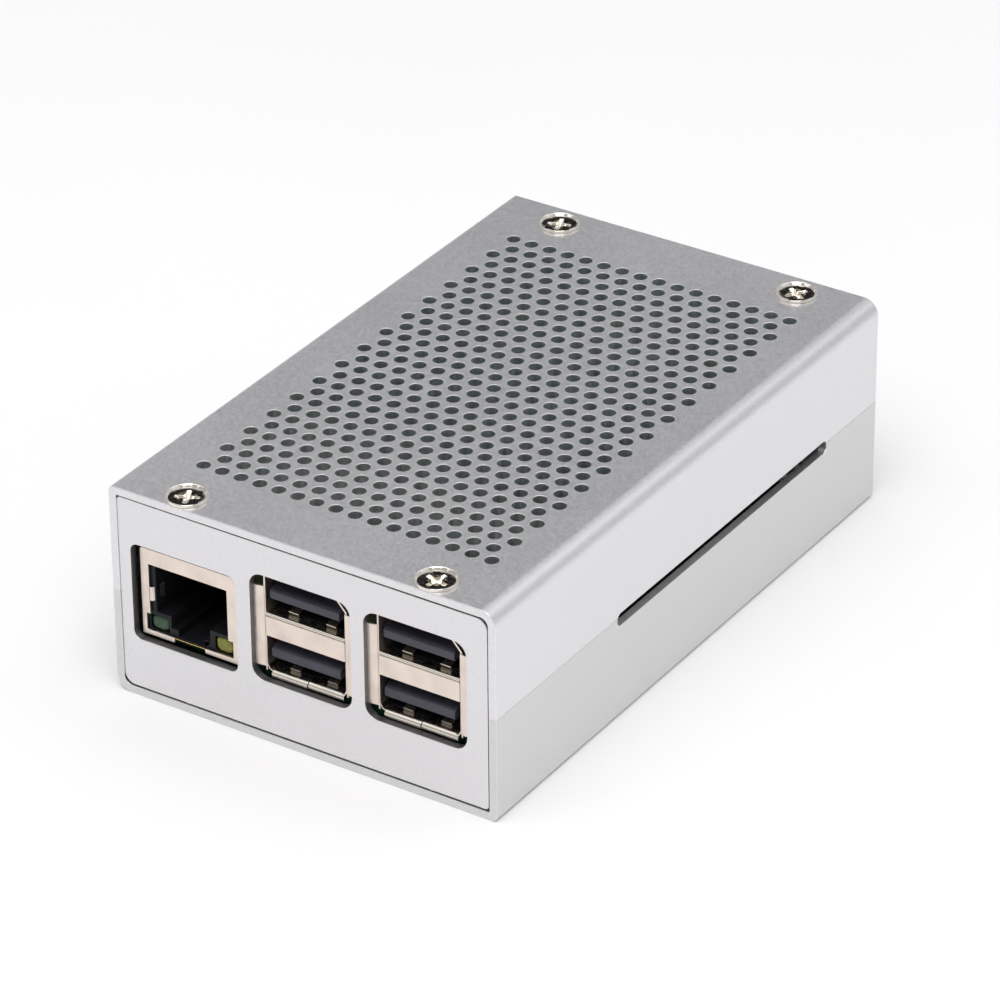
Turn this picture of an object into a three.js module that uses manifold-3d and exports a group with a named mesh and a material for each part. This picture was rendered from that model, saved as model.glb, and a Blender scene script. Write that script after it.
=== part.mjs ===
// A single board computer in its two-part metal case, in millimetres, +Z up.
// Origin: centre of the case's footprint, on the surface it stands on.
// +X is to the right when facing the ports, -Y is the port end, +Z is up.
// The case is two bent channels, closed at both ends by C-shaped brackets. The board stands on four
// spacers inside it. Board parts are placed by two board distances: "across", from the board's left
// edge towards +X, and "along", from the board's card end towards the ports.
import * as THREE from "three";
import { mergeVertices } from "three/addons/utils/BufferGeometryUtils.js";
import Module from "manifold-3d";

const manifold = await Module();
manifold.setup();

// ---------------------------------------------------------------- driving dimensions

const CASE = { width: 61.4, length: 99, height: 32, wall: 1.2 };
const HALF_WIDTH = CASE.width / 2;
const HALF_LENGTH = CASE.length / 2;
const INNER_X = HALF_WIDTH - CASE.wall;
const PARTING = { z: 15.8, gap: 0.1 };
const BEND = { wide: 2.4, tight: 0.9 }; // outer bend radii of each channel's two edges
const FIT = 0.2; // clearance of the end brackets inside the shells

const VENT = { radius: 1, sides: 6, rows: 29, longRow: 16, pitchX: 3.065, pitchY: 2.725 };

const BRACKET = { thick: 1.2, flange: 8, flangeHalfWidth: 27, wideCorner: 1.6, tightCorner: 0.6 };
const FRONT_INSET = 0.15; // how far the port plate sits inside the front rim
const BACK_INSET = 1.65; // how far the back plate sits inside the back rim
const PORT_OPENINGS = [
  { x: [-27.6, -10.4], z: [9.05, 23.9], radius: 1.2 }, // network socket
  { x: [-8.05, 7.85], z: [9.35, 25.8], radius: 2 }, // double USB sockets
  { x: [10.1, 26], z: [9.35, 25.8], radius: 2 },
];
const FINGER_SLOT = { halfWidth: 8.5, z: [4.4, 10.6], radius: 2.4 }; // behind the memory card

const M3 = { shank: 1.45, hole: 1.6, length: 5 };
// The cover screws' low heads: a raised rim round a flat disc, over a boss that fills the cover's hole.
const DISHED = { radius: 2.9, rim: 0.55, disc: 0.12, boss: 2.1, hole: 2.45, bossDepth: 0.95 };
const M25 = { shank: 1.15, hole: 1.35, head: 2.4, headHeight: 1.5, length: 5 };
const CASE_SCREW = { x: 19.8, fromFront: 2.9, fromBack: 4.4 };
const COUNTERSINK = { head: 2.75, seat: 2.9 };

const BOARD = { left: -29.3, across: 56, along: 85, top: 9.6, thick: 1.4, corner: 3 };
BOARD.bottom = BOARD.top - BOARD.thick;
BOARD.cardEnd = 38.7; // Y of the board's card end; the ports overhang the other end
const BOARD_HOLE = { near: 3.5, farAcross: 52.5, farAlong: 61.5 };
const SPACER = { acrossFlats: 5, stem: 2.1, stemHole: 2.25 };

const PORT_FACE = -HALF_LENGTH + FRONT_INSET + 1; // Y of the sockets' faces, 1 mm behind the plate
const ETHERNET = { across: 10.3, width: 15.7, depth: 21.3, height: 13.5, sheet: 0.4 };
const USB = { across: [28.95, 47], width: 13.1, depth: 17.5, height: 15.7, sheet: 0.35 };
const SLOT = { fromFront: 29.6, toFront: 85.1, z: 15.35, radius: 0.95 }; // pin header slot, right wall

const NOSE_X = -HALF_WIDTH + 0.4; // the side sockets end just inside the left wall's outer face
const HDMI = { along: 32, width: 15, depth: 11.5, height: 6.2 };
const POWER = { along: 10.6, width: 7.8, depth: 5.7, height: 2.9 };
const AUDIO = { along: 53.5, width: 7, depth: 12.4, height: 6, nose: 3, bore: 1.8 };
const RIBBON = { length: 22.2, depth: 4, height: 4.2, latch: 1.3 };
const HEADER = { along: 32.5, across: 52.5, pins: 20, pitch: 2.54, base: 2.5, pin: 0.64, rise: 8.5 };
const CARD = { across: 28, width: 11, length: 15, thick: 0.7, proud: 2.4 };
const CARD_SOCKET = { width: 14.2, length: 14.6, height: 1.35, clearance: 0.15 };

// ---------------------------------------------------------------- finishes

const finish = (color, roughness, metalness) =>
  new THREE.MeshStandardMaterial({ color, roughness, metalness });
const FINISH = {
  anodised: finish(0xb9babd, 0.42, 0.85),
  plate: finish(0xdadbde, 0.45, 0.7),
  nickel: finish(0xd6d2cc, 0.18, 1),
  tinplate: finish(0xd2c6bc, 0.32, 0.9),
  steel: finish(0xa8a8a6, 0.35, 0.9),
  board: finish(0x1c5a38, 0.45, 0.05),
  chip: finish(0x1d1e20, 0.5, 0.05),
  socketBlack: finish(0x17181a, 0.55, 0),
  tongue: finish(0x35373f, 0.5, 0),
  cream: finish(0xe6e0d0, 0.5, 0),
  gold: finish(0xc9a54c, 0.25, 1),
  lightGreen: finish(0x3f6a4e, 0.25, 0),
  lightYellow: finish(0xb9b02c, 0.25, 0),
  lightClear: finish(0xe9ede6, 0.2, 0),
  capacitor: finish(0xc7cacd, 0.3, 0.8),
  ferrite: finish(0x4a4b4d, 0.7, 0.1),
};

// ---------------------------------------------------------------- building blocks

// A closed geometry as a manifold solid. Faces that collapsed to a line at a lathe's axis are dropped.
function solid(geometry) {
  const plain = geometry.clone();
  plain.deleteAttribute("normal");
  plain.deleteAttribute("uv");
  const merged = mergeVertices(plain, 1e-4);
  const corners = merged.index.array;
  const kept = [];
  for (let i = 0; i < corners.length; i += 3) {
    const [a, b, c] = [corners[i], corners[i + 1], corners[i + 2]];
    if (a !== b && b !== c && a !== c) kept.push(a, b, c);
  }
  return new manifold.Manifold(
    new manifold.Mesh({
      numProp: 3,
      vertProperties: merged.attributes.position.array,
      triVerts: new Uint32Array(kept),
    }),
  );
}

// The solid's surface as a flat-shaded geometry.
function surface(body) {
  const mesh = body.getMesh();
  const indexed = new THREE.BufferGeometry();
  indexed.setAttribute("position", new THREE.BufferAttribute(mesh.vertProperties, 3));
  indexed.setIndex(new THREE.BufferAttribute(mesh.triVerts, 1));
  const flat = indexed.toNonIndexed();
  flat.computeVertexNormals();
  return flat;
}

const join = (...bodies) => bodies.reduce((whole, body) => whole.add(body));
const cut = (body, ...tools) => tools.reduce((rest, tool) => rest.subtract(tool), body);

// A block between two corners, each given as [x, y, z].
function block([x0, y0, z0], [x1, y1, z1]) {
  const geometry = new THREE.BoxGeometry(x1 - x0, y1 - y0, z1 - z0);
  return solid(geometry.translate((x0 + x1) / 2, (y0 + y1) / 2, (z0 + z1) / 2));
}

// Directions that an outline's own x, its own y and its thickness take, for each extrusion axis.
const LAY = {
  X: [new THREE.Vector3(0, 1, 0), new THREE.Vector3(0, 0, 1), new THREE.Vector3(1, 0, 0)],
  Y: [new THREE.Vector3(1, 0, 0), new THREE.Vector3(0, 0, 1), new THREE.Vector3(0, -1, 0)],
  Z: [new THREE.Vector3(1, 0, 0), new THREE.Vector3(0, 1, 0), new THREE.Vector3(0, 0, 1)],
};

// An outline given in the plane across an axis, extruded along that axis from one place to another.
function prism(axis, outline, from, to, curveSegments = 3) {
  const options = { depth: to - from, bevelEnabled: false, curveSegments };
  const geometry = new THREE.ExtrudeGeometry(outline, options);
  geometry.applyMatrix4(new THREE.Matrix4().makeBasis(...LAY[axis]));
  const start = LAY[axis][2].clone().multiplyScalar(axis === "Y" ? -to : from);
  return solid(geometry.translate(start.x, start.y, start.z));
}

// A rectangle with a radius for each corner: lower left, lower right, upper right, upper left.
function roundedRectangle(x0, x1, y0, y1, radii) {
  const [lowerLeft, lowerRight, upperRight, upperLeft] = radii;
  const outline = new THREE.Shape();
  outline.moveTo(x0 + lowerLeft, y0);
  outline.lineTo(x1 - lowerRight, y0);
  outline.absarc(x1 - lowerRight, y0 + lowerRight, lowerRight, -Math.PI / 2, 0);
  outline.lineTo(x1, y1 - upperRight);
  outline.absarc(x1 - upperRight, y1 - upperRight, upperRight, 0, Math.PI / 2);
  outline.lineTo(x0 + upperLeft, y1);
  outline.absarc(x0 + upperLeft, y1 - upperLeft, upperLeft, Math.PI / 2, Math.PI);
  outline.lineTo(x0, y0 + lowerLeft);
  outline.absarc(x0 + lowerLeft, y0 + lowerLeft, lowerLeft, Math.PI, (3 * Math.PI) / 2);
  return outline;
}

const rounded = (x0, x1, y0, y1, radius) =>
  roundedRectangle(x0, x1, y0, y1, [radius, radius, radius, radius]);

// A closed outline through the given points.
function polygon(points) {
  return new THREE.Shape(points.map(([x, y]) => new THREE.Vector2(x, y)));
}

// A solid of revolution about a vertical axis: the profile lists [radius, z] from bottom to top.
function turned(profile, x, y, sides = 16) {
  const points = profile.map(([radius, z]) => new THREE.Vector2(radius, z));
  const geometry = new THREE.LatheGeometry(points, sides);
  geometry.rotateX(Math.PI / 2);
  return solid(geometry.translate(x, y, 0));
}

const rod = (radius, x, y, z0, z1, sides = 16) =>
  turned([[0, z0], [radius, z0], [radius, z1], [0, z1]], x, y, sides);

const object = new THREE.Group();

function add(name, body, material, parent = object) {
  const mesh = new THREE.Mesh(surface(body), material);
  mesh.name = name;
  parent.add(mesh);
}

// Where a point of the board lies in the case.
const boardX = (across) => BOARD.left + across;
const boardY = (along) => BOARD.cardEnd - along;

const frontY = -HALF_LENGTH + CASE_SCREW.fromFront;
const backY = HALF_LENGTH - CASE_SCREW.fromBack;
const caseScrewPlaces = [
  [-CASE_SCREW.x, frontY],
  [CASE_SCREW.x, frontY],
  [-CASE_SCREW.x, backY],
  [CASE_SCREW.x, backY],
];
const boardHolePlaces = [
  [BOARD_HOLE.near, BOARD_HOLE.near],
  [BOARD_HOLE.farAcross, BOARD_HOLE.near],
  [BOARD_HOLE.near, BOARD_HOLE.farAlong],
  [BOARD_HOLE.farAcross, BOARD_HOLE.farAlong],
].map(([across, along]) => [boardX(across), boardY(along)]);

// ---------------------------------------------------------------- case shells

// A channel's section: a wide bend on the left edge and a tight one on the right.
function channelOutline(legTop) {
  const innerWide = BEND.wide - CASE.wall;
  const outline = new THREE.Shape();
  outline.moveTo(-HALF_WIDTH, legTop);
  outline.lineTo(-HALF_WIDTH, BEND.wide);
  outline.absarc(-HALF_WIDTH + BEND.wide, BEND.wide, BEND.wide, Math.PI, 1.5 * Math.PI);
  outline.lineTo(HALF_WIDTH - BEND.tight, 0);
  outline.absarc(HALF_WIDTH - BEND.tight, BEND.tight, BEND.tight, 1.5 * Math.PI, 2 * Math.PI);
  outline.lineTo(HALF_WIDTH, legTop);
  outline.lineTo(INNER_X, legTop);
  outline.lineTo(INNER_X, CASE.wall);
  outline.lineTo(-INNER_X + innerWide, CASE.wall);
  outline.absarc(-INNER_X + innerWide, BEND.wide, innerWide, 1.5 * Math.PI, Math.PI, true);
  outline.lineTo(-INNER_X, legTop);
  return outline;
}

// A channel that runs the whole length of the case, standing on its floor.
function channel(legTop) {
  return prism("Y", channelOutline(legTop), -HALF_LENGTH, HALF_LENGTH, 4);
}

// The slot over the pin header, cut through the right wall of both shells.
function headerSlot() {
  const y0 = -HALF_LENGTH + SLOT.fromFront;
  const y1 = -HALF_LENGTH + SLOT.toFront;
  const outline = rounded(y0, y1, SLOT.z - SLOT.radius, SLOT.z + SLOT.radius, SLOT.radius);
  return prism("X", outline, INNER_X - 1, HALF_WIDTH + 1);
}

// Openings for the three sockets on the left wall.
function sideSocketCuts() {
  const through = [-HALF_WIDTH - 1, -INNER_X + 0.5];
  const opening = ({ along, width, height }, margin, radius) => {
    const y = boardY(along);
    const half = width / 2 + margin;
    const outline = rounded(y - half, y + half, BOARD.top - margin, BOARD.top + height + margin, radius);
    return prism("X", outline, ...through);
  };
  return [
    opening(HDMI, 0.5, 0.6),
    opening(POWER, 0.5, 0.6),
    opening({ ...AUDIO, width: 2 * AUDIO.nose }, 0.4, AUDIO.nose - 0.2),
  ];
}

function countersunkHole([x, y]) {
  const profile = [[0, -1], [COUNTERSINK.seat, -1], [COUNTERSINK.seat, 0]];
  return turned([...profile, [M3.hole, CASE.wall], [M3.hole, 2], [0, 2]], x, y, 12);
}

function makeBottomShell() {
  const spacerHoles = boardHolePlaces.map(([x, y]) => rod(SPACER.stemHole, x, y, -1, 3, 12));
  return cut(
    channel(PARTING.z - PARTING.gap / 2),
    headerSlot(),
    ...sideSocketCuts(),
    ...caseScrewPlaces.map(countersunkHole),
    ...spacerHoles,
  );
}

// Staggered rows of vent holes: rows of sixteen alternate with rows of fifteen.
function ventTools() {
  const tools = [];
  for (let row = 0; row < VENT.rows; row++) {
    const count = VENT.longRow - (row % 2);
    const y = (row - (VENT.rows - 1) / 2) * VENT.pitchY;
    for (let i = 0; i < count; i++) {
      const x = (i - (count - 1) / 2) * VENT.pitchX;
      tools.push(rod(VENT.radius, x, y, CASE.height - 2, CASE.height + 1, VENT.sides));
    }
  }
  return tools;
}

// The cover is a channel turned over, so its wide bend is on the right. Its legs end just above the
// lower channel's legs.
function makeTopCover() {
  const legs = CASE.height - PARTING.z - PARTING.gap / 2;
  const shell = channel(legs).rotate([0, 180, 0]).translate([0, 0, CASE.height]);
  const screwHoles = caseScrewPlaces.map(([x, y]) => rod(DISHED.hole, x, y, 25, 35, 8));
  const cover = cut(shell, headerSlot(), ...sideSocketCuts(), ...screwHoles);
  return cover.subtract(manifold.Manifold.compose(ventTools()));
}

// ---------------------------------------------------------------- end brackets

// A C-shaped bracket: a face plate with a flange at its top and bottom, threaded for the case screws.
// "face" is the Y of its outer face, and "inwards" is +1 when the flanges run towards +Y.
function endBracket(face, inwards, screwY) {
  const [top, bottom] = [CASE.height - CASE.wall - FIT, CASE.wall + FIT];
  const side = INNER_X - FIT;
  const radii = [BRACKET.wideCorner, BRACKET.tightCorner, BRACKET.wideCorner, BRACKET.tightCorner];
  const plateOutline = roundedRectangle(-side, side, bottom, top, radii);
  const back = face + inwards * BRACKET.thick;
  const tip = face + inwards * (BRACKET.thick + BRACKET.flange);
  const [y0, y1] = [Math.min(face, tip), Math.max(face, tip)];
  const half = BRACKET.flangeHalfWidth;
  const web = prism("Y", plateOutline, Math.min(face, back), Math.max(face, back), 4);
  const upper = block([-half, y0, top - BRACKET.thick], [half, y1, top]);
  const lower = block([-half, y0, bottom], [half, y1, bottom + BRACKET.thick]);
  const threads = [-CASE_SCREW.x, CASE_SCREW.x].flatMap((x) => [
    rod(M3.hole - 0.05, x, screwY, bottom - 1, bottom + BRACKET.thick + 0.2, 12),
    rod(M3.hole - 0.05, x, screwY, top - BRACKET.thick - 0.2, top + 1, 12),
  ]);
  return cut(join(web, upper, lower), ...threads);
}

function makeFrontPlate() {
  const face = -HALF_LENGTH + FRONT_INSET;
  const openings = PORT_OPENINGS.map(({ x, z, radius }) =>
    prism("Y", rounded(...x, ...z, radius), face - 1, face + BRACKET.thick + 1, 4),
  );
  return cut(endBracket(face, 1, frontY), ...openings);
}

// The back plate has a finger slot behind the memory card.
function makeBackPlate() {
  const face = HALF_LENGTH - BACK_INSET;
  const x = boardX(CARD.across);
  const { halfWidth, z, radius } = FINGER_SLOT;
  const outline = rounded(x - halfWidth, x + halfWidth, ...z, radius);
  const slot = prism("Y", outline, face - BRACKET.thick - 1, face + 1, 4);
  return cut(endBracket(face, -1, backY), slot);
}

// ---------------------------------------------------------------- fasteners

// A cross recess sunk into a screw head whose top is at z.
function crossRecess(x, y, z, reach, width, depth) {
  const bar = (dx, dy) => block([x - dx, y - dy, z - depth], [x + dx, y + dy, z + 1]);
  return join(bar(reach, width), bar(width, reach));
}

// A cover screw whose head stands on the level z: its flat disc lies low inside a raised, rounded rim.
function dishedScrew(x, y, z) {
  const { radius, rim, disc, boss, bossDepth } = DISHED;
  const { shank, length } = M3;
  const profile = [
    [0, z - length],
    [shank * 0.8, z - length],
    [shank, z - length + 0.5],
    [shank, z - bossDepth],
    [boss, z - bossDepth],
    [boss, z],
    [radius, z],
    [radius, z + rim * 0.6],
    [radius - 0.12, z + rim * 0.95],
    [radius - 0.22, z + rim],
    [radius - 0.4, z + disc],
    [0, z + disc],
  ];
  return cut(turned(profile, x, y, 24), crossRecess(x, y, z + disc, 1.6, 0.42, 0.8));
}

// A pan-head screw standing on the level z: rounded rim, nearly flat top, cross recess.
function panScrew(x, y, z) {
  const { head, headHeight, shank, length } = M25;
  const profile = [
    [0, z - length],
    [shank * 0.8, z - length],
    [shank, z - length + 0.5],
    [shank, z],
    [head, z],
    [head, z + headHeight * 0.45],
    [head * 0.95, z + headHeight * 0.8],
    [head * 0.84, z + headHeight * 0.97],
    [0, z + headHeight],
  ];
  const recess = crossRecess(x, y, z + headHeight, head * 0.52, head * 0.14, headHeight * 0.6);
  return cut(turned(profile, x, y, 20), recess);
}

// A countersunk screw, its flat head level with the underside of the case.
function sunkScrew(x, y) {
  const level = 0.05;
  const neck = level + CASE.wall;
  const profile = [
    [0, level],
    [COUNTERSINK.head, level],
    [M3.shank, neck],
    [M3.shank, M3.length - 0.4],
    [M3.shank * 0.8, M3.length],
    [0, M3.length],
  ];
  const reach = 1.4;
  const width = 0.4;
  const bar = (dx, dy) => block([x - dx, y - dy, -1], [x + dx, y + dy, 0.75]);
  return cut(turned(profile, x, y, 16), bar(reach, width), bar(width, reach));
}

// A hexagonal spacer with a stem pressed into the floor and a bore for the board screw.
function spacer(x, y) {
  const corner = SPACER.acrossFlats / Math.sqrt(3);
  const seat = CASE.wall;
  const body = rod(corner, x, y, seat, BOARD.bottom, 6);
  const stem = rod(SPACER.stem, x, y, 0.05, seat + 0.5, 12);
  return cut(join(body, stem), rod(M25.hole, x, y, seat + 1, BOARD.bottom + 1, 10));
}

// ---------------------------------------------------------------- board and chips

function makeBoard() {
  const end = boardY(BOARD.along);
  const right = BOARD.left + BOARD.across;
  const outline = rounded(BOARD.left, right, end, BOARD.cardEnd, BOARD.corner);
  const panel = prism("Z", outline, BOARD.bottom, BOARD.top, 4);
  const holes = boardHolePlaces.map(([x, y]) =>
    rod(M25.hole, x, y, BOARD.bottom - 1, BOARD.top + 1, 12),
  );
  return cut(panel, ...holes);
}

// A flat chip centred on a board position; "below" puts it on the board's underside.
function chip(across, along, sizeX, sizeY, height, below = false) {
  const [x, y] = [boardX(across), boardY(along)];
  const edge = 0.25;
  const [z0, z1] = below ? [BOARD.bottom - height, BOARD.bottom] : [BOARD.top, BOARD.top + height];
  const outline = rounded(x - sizeX / 2, x + sizeX / 2, y - sizeY / 2, y + sizeY / 2, edge);
  return prism("Z", outline, z0, z1, 1);
}

// ---------------------------------------------------------------- front sockets

// The Ethernet socket's metal shield: a folded box, open below and behind, with a stepped aperture.
function makeEthernetShield() {
  const { width, depth, height, sheet } = ETHERNET;
  const x = boardX(ETHERNET.across);
  const z = BOARD.top;
  const half = width / 2;
  const outer = block([x - half, PORT_FACE, z], [x + half, PORT_FACE + depth, z + height]);
  const inner = block(
    [x - half + sheet, PORT_FACE + sheet, z - 1],
    [x + half - sheet, PORT_FACE + depth + 1, z + height - sheet],
  );
  const aperture = [
    [x - 2.5, z - 1],
    [x + 2.5, z - 1],
    [x + 2.5, z + 0.7],
    [x + 7.1, z + 0.7],
    [x + 7.1, z + 3.3],
    [x + 6.3, z + 3.3],
    [x + 6.3, z + 11.1],
    [x - 6.5, z + 11.1],
    [x - 6.5, z + 3.3],
    [x - 7.1, z + 3.3],
    [x - 7.1, z + 0.7],
    [x - 2.5, z + 0.7],
  ];
  return cut(outer, inner, prism("Y", polygon(aperture), PORT_FACE - 1, PORT_FACE + 1));
}

// The plastic body inside the shield: a stepped plug cavity with a pocket for a light at each side.
function makeEthernetInsert() {
  const { width, depth, height, sheet } = ETHERNET;
  const x = boardX(ETHERNET.across);
  const z = BOARD.top + 0.1;
  const gap = sheet + 0.1;
  const half = width / 2 - gap;
  const front = PORT_FACE + gap;
  const back = PORT_FACE + depth;
  const body = block([x - half, front, z], [x + half, back, z + height - gap - 0.1]);
  const cavity = [
    [x - 2.3, z + 0.6],
    [x + 2.3, z + 0.6],
    [x + 2.3, z + 2.2],
    [x + 3.4, z + 2.2],
    [x + 3.4, z + 4.2],
    [x + 5.9, z + 4.2],
    [x + 5.9, z + 10.9],
    [x - 5.9, z + 10.9],
    [x - 5.9, z + 4.2],
    [x - 3.4, z + 4.2],
    [x - 3.4, z + 2.2],
    [x - 2.3, z + 2.2],
  ];
  const pocket = (side) =>
    block([x + side * 5.25 - 1.6, front - 1, z + 0.5], [x + side * 5.25 + 1.6, front + 3, z + 3.3]);
  return cut(body, prism("Y", polygon(cavity), front - 1, front + 13), pocket(-1), pocket(1));
}

// A small light in the insert's lower corner, -1 for the left and 1 for the right.
function ethernetLight(side) {
  const x = boardX(ETHERNET.across) + side * 5.3;
  const z = BOARD.top + 1.9;
  const outline = rounded(x - 1.35, x + 1.35, z - 0.95, z + 0.95, 0.5);
  return prism("Y", outline, PORT_FACE + 0.55, PORT_FACE + 3.3, 2);
}

// The sockets' heights above the board, lowest first: [floor, roof] of the lower and upper socket.
const USB_SOCKETS = [
  [0.95, 6.3],
  [9.8, 15.35],
];

// A double USB shield: a folded box, open below and behind, with a band between its two sockets and
// ears that stand out at both sides of its face.
function usbShield(x) {
  const { width, depth, height, sheet } = USB;
  const z = BOARD.top;
  const half = width / 2;
  const outer = block([x - half, PORT_FACE, z], [x + half, PORT_FACE + depth, z + height]);
  const inner = block(
    [x - half + sheet, PORT_FACE + sheet, z - 1],
    [x + half - sheet, PORT_FACE + depth + 1, z + height - sheet],
  );
  const socket = ([floor, roof]) =>
    block([x - half + sheet, PORT_FACE - 1, z + floor], [x + half - sheet, PORT_FACE + 1, z + roof]);
  const shelf = (level) =>
    block([x - half + 0.1, PORT_FACE, z + level], [x + half - 0.1, PORT_FACE + 9, z + level + sheet]);
  const ear = (x0, x1) => block([x0, PORT_FACE, z + 2.2], [x1, PORT_FACE + 0.5, z + 14.3]);
  return join(
    cut(outer, inner, ...USB_SOCKETS.map(socket)),
    shelf(USB_SOCKETS[0][1]),
    shelf(USB_SOCKETS[1][0] - sheet),
    ear(x - half - 0.95, x - half + 0.1),
    ear(x + half - 0.1, x + half + 0.8),
  );
}

// The plastic body of a double USB socket: a block at the back with a tongue for each socket.
function usbInsert(x) {
  const { width, depth, height, sheet } = USB;
  const z = BOARD.top;
  const half = width / 2 - sheet - 0.15;
  const back = PORT_FACE + depth;
  const body = block([x - half, PORT_FACE + 9.5, z + 0.1], [x + half, back, z + height - sheet - 0.15]);
  const tongue = ([, roof]) =>
    block([x - 5.4, PORT_FACE + 0.9, z + roof - 2.6], [x + 5.4, PORT_FACE + 10, z + roof - 0.75]);
  return join(body, ...USB_SOCKETS.map(tongue));
}

// ---------------------------------------------------------------- left-hand sockets

// The display socket's shell: an open D with chamfered lower corners.
function makeHdmiShell() {
  const y = boardY(HDMI.along);
  const z = BOARD.top;
  const dOutline = (inset) => {
    const half = HDMI.width / 2 - inset;
    return polygon([
      [y - half + 2.2, z + inset],
      [y + half - 2.2, z + inset],
      [y + half - 0.4, z + 2.1 + inset / 2],
      [y + half, z + HDMI.height - inset],
      [y - half, z + HDMI.height - inset],
      [y - half + 0.4, z + 2.1 + inset / 2],
    ]);
  };
  const back = NOSE_X + HDMI.depth;
  return cut(prism("X", dOutline(0), NOSE_X, back), prism("X", dOutline(0.5), NOSE_X - 1, back - 1));
}

// A contact tongue that stands in a side socket, clear of the shell all round.
function sideTongue({ along, width, height }, share, thick, depth) {
  const y = boardY(along);
  const z = BOARD.top + height * 0.5;
  const half = (width * share) / 2;
  return block([NOSE_X + 0.9, y - half, z - thick / 2], [NOSE_X + depth, y + half, z + thick / 2]);
}

function makePowerShell() {
  const y = boardY(POWER.along);
  const z = BOARD.top;
  const outline = (inset) => {
    const half = POWER.width / 2 - inset;
    return polygon([
      [y - half + 1.1, z + inset],
      [y + half - 1.1, z + inset],
      [y + half, z + 1.2],
      [y + half, z + POWER.height - inset],
      [y - half, z + POWER.height - inset],
      [y - half, z + 1.2],
    ]);
  };
  const back = NOSE_X + POWER.depth;
  return cut(prism("X", outline(0), NOSE_X, back), prism("X", outline(0.4), NOSE_X - 1, back - 0.6));
}

// The audio jack: a block with a round nose and a bore.
function makeAudioJack() {
  const y = boardY(AUDIO.along);
  const z = BOARD.top + AUDIO.nose;
  const circle = (radius) => new THREE.Shape().absarc(y, z, radius, 0, 2 * Math.PI);
  const base = BOARD.left + 0.6;
  const body = block(
    [base, y - AUDIO.width / 2, BOARD.top],
    [base + AUDIO.depth, y + AUDIO.width / 2, BOARD.top + AUDIO.height],
  );
  const nose = prism("X", circle(AUDIO.nose - 0.02), NOSE_X - 0.4, base + 1, 8);
  return cut(join(body, nose), prism("X", circle(AUDIO.bore), NOSE_X - 1, base + 10, 6));
}

// ---------------------------------------------------------------- connectors on the board

// The body of a flat-cable connector, with a groove for its latch. Its length runs across the board.
function ribbonBody(across, along) {
  const [x, y] = [boardX(across), boardY(along)];
  const half = RIBBON.length / 2;
  const top = BOARD.top + RIBBON.height;
  const body = block([x - half, y - RIBBON.depth / 2, BOARD.top], [x + half, y + RIBBON.depth / 2, top]);
  const groove = block([x - half + 1.2, y - 0.9, BOARD.top + 1.2], [x + half - 1.2, y + 0.9, top + 1]);
  return cut(body, groove);
}

// Its sliding latch: a bar over the body with a wedge that reaches into the groove.
function ribbonLatch(across, along) {
  const [x, y] = [boardX(across), boardY(along)];
  const half = RIBBON.length / 2;
  const seat = BOARD.top + RIBBON.height + 0.1;
  const bar = block([x - half - 0.6, y - 1.7, seat], [x + half + 0.6, y + 1.7, seat + RIBBON.latch]);
  const wedge = block([x - half + 1.6, y - 0.15, seat - 2.6], [x + half - 1.6, y + 0.6, seat + 0.2]);
  return join(bar, wedge);
}

// The two-row pin header: a plastic strip and its square pins.
function makeHeader() {
  const [x, y] = [boardX(HEADER.across), boardY(HEADER.along)];
  const halfStrip = (HEADER.pins * HEADER.pitch) / 2;
  const strip = block(
    [x - HEADER.pitch, y - halfStrip, BOARD.top],
    [x + HEADER.pitch, y + halfStrip, BOARD.top + HEADER.base],
  );
  const half = HEADER.pin / 2;
  const pins = [];
  for (let row = 0; row < 2; row++) {
    for (let i = 0; i < HEADER.pins; i++) {
      const px = x + (row - 0.5) * HEADER.pitch;
      const py = y + (i - (HEADER.pins - 1) / 2) * HEADER.pitch;
      const [z0, z1] = [BOARD.top + 1, BOARD.top + HEADER.rise];
      pins.push(block([px - half, py - half, z0], [px + half, py + half, z1]));
    }
  }
  return join(strip, ...pins);
}

// The card socket under the board, open towards the back plate.
function makeCardSocket() {
  const x = boardX(CARD.across);
  const half = CARD_SOCKET.width / 2;
  const mouth = BOARD.cardEnd - 0.9;
  const [z0, z1] = [BOARD.bottom - CARD_SOCKET.height, BOARD.bottom];
  const body = block([x - half, mouth - CARD_SOCKET.length, z0], [x + half, mouth, z1]);
  const room = CARD.width / 2 + CARD_SOCKET.clearance;
  const bay = block([x - room, mouth - 13, z0 + 0.2], [x + room, mouth + 1, z0 + 1.1]);
  return cut(body, bay);
}

function makeCard() {
  const x = boardX(CARD.across);
  const half = CARD.width / 2;
  const outer = BOARD.cardEnd + CARD.proud;
  const z = BOARD.bottom - CARD_SOCKET.height + 0.3;
  const outline = rounded(x - half, x + half, outer - CARD.length, outer, 0.8);
  return prism("Z", outline, z, z + CARD.thick, 2);
}

// ---------------------------------------------------------------- assembly

add("bottom_shell", makeBottomShell(), FINISH.anodised);
add("front_plate", makeFrontPlate(), FINISH.plate);
add("back_plate", makeBackPlate(), FINISH.plate);

const cover = new THREE.Group();
object.add(cover);
add("top_cover", makeTopCover(), FINISH.anodised, cover);

caseScrewPlaces.forEach(([x, y], i) => {
  add(`cover_screw_${i + 1}`, dishedScrew(x, y, CASE.height + 0.02), FINISH.nickel, cover);
  add(`base_screw_${i + 1}`, sunkScrew(x, y), FINISH.nickel);
});

boardHolePlaces.forEach(([x, y], i) => {
  add(`spacer_${i + 1}`, spacer(x, y), FINISH.steel);
  add(`board_screw_${i + 1}`, panScrew(x, y, BOARD.top + 0.02), FINISH.nickel);
});

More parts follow.
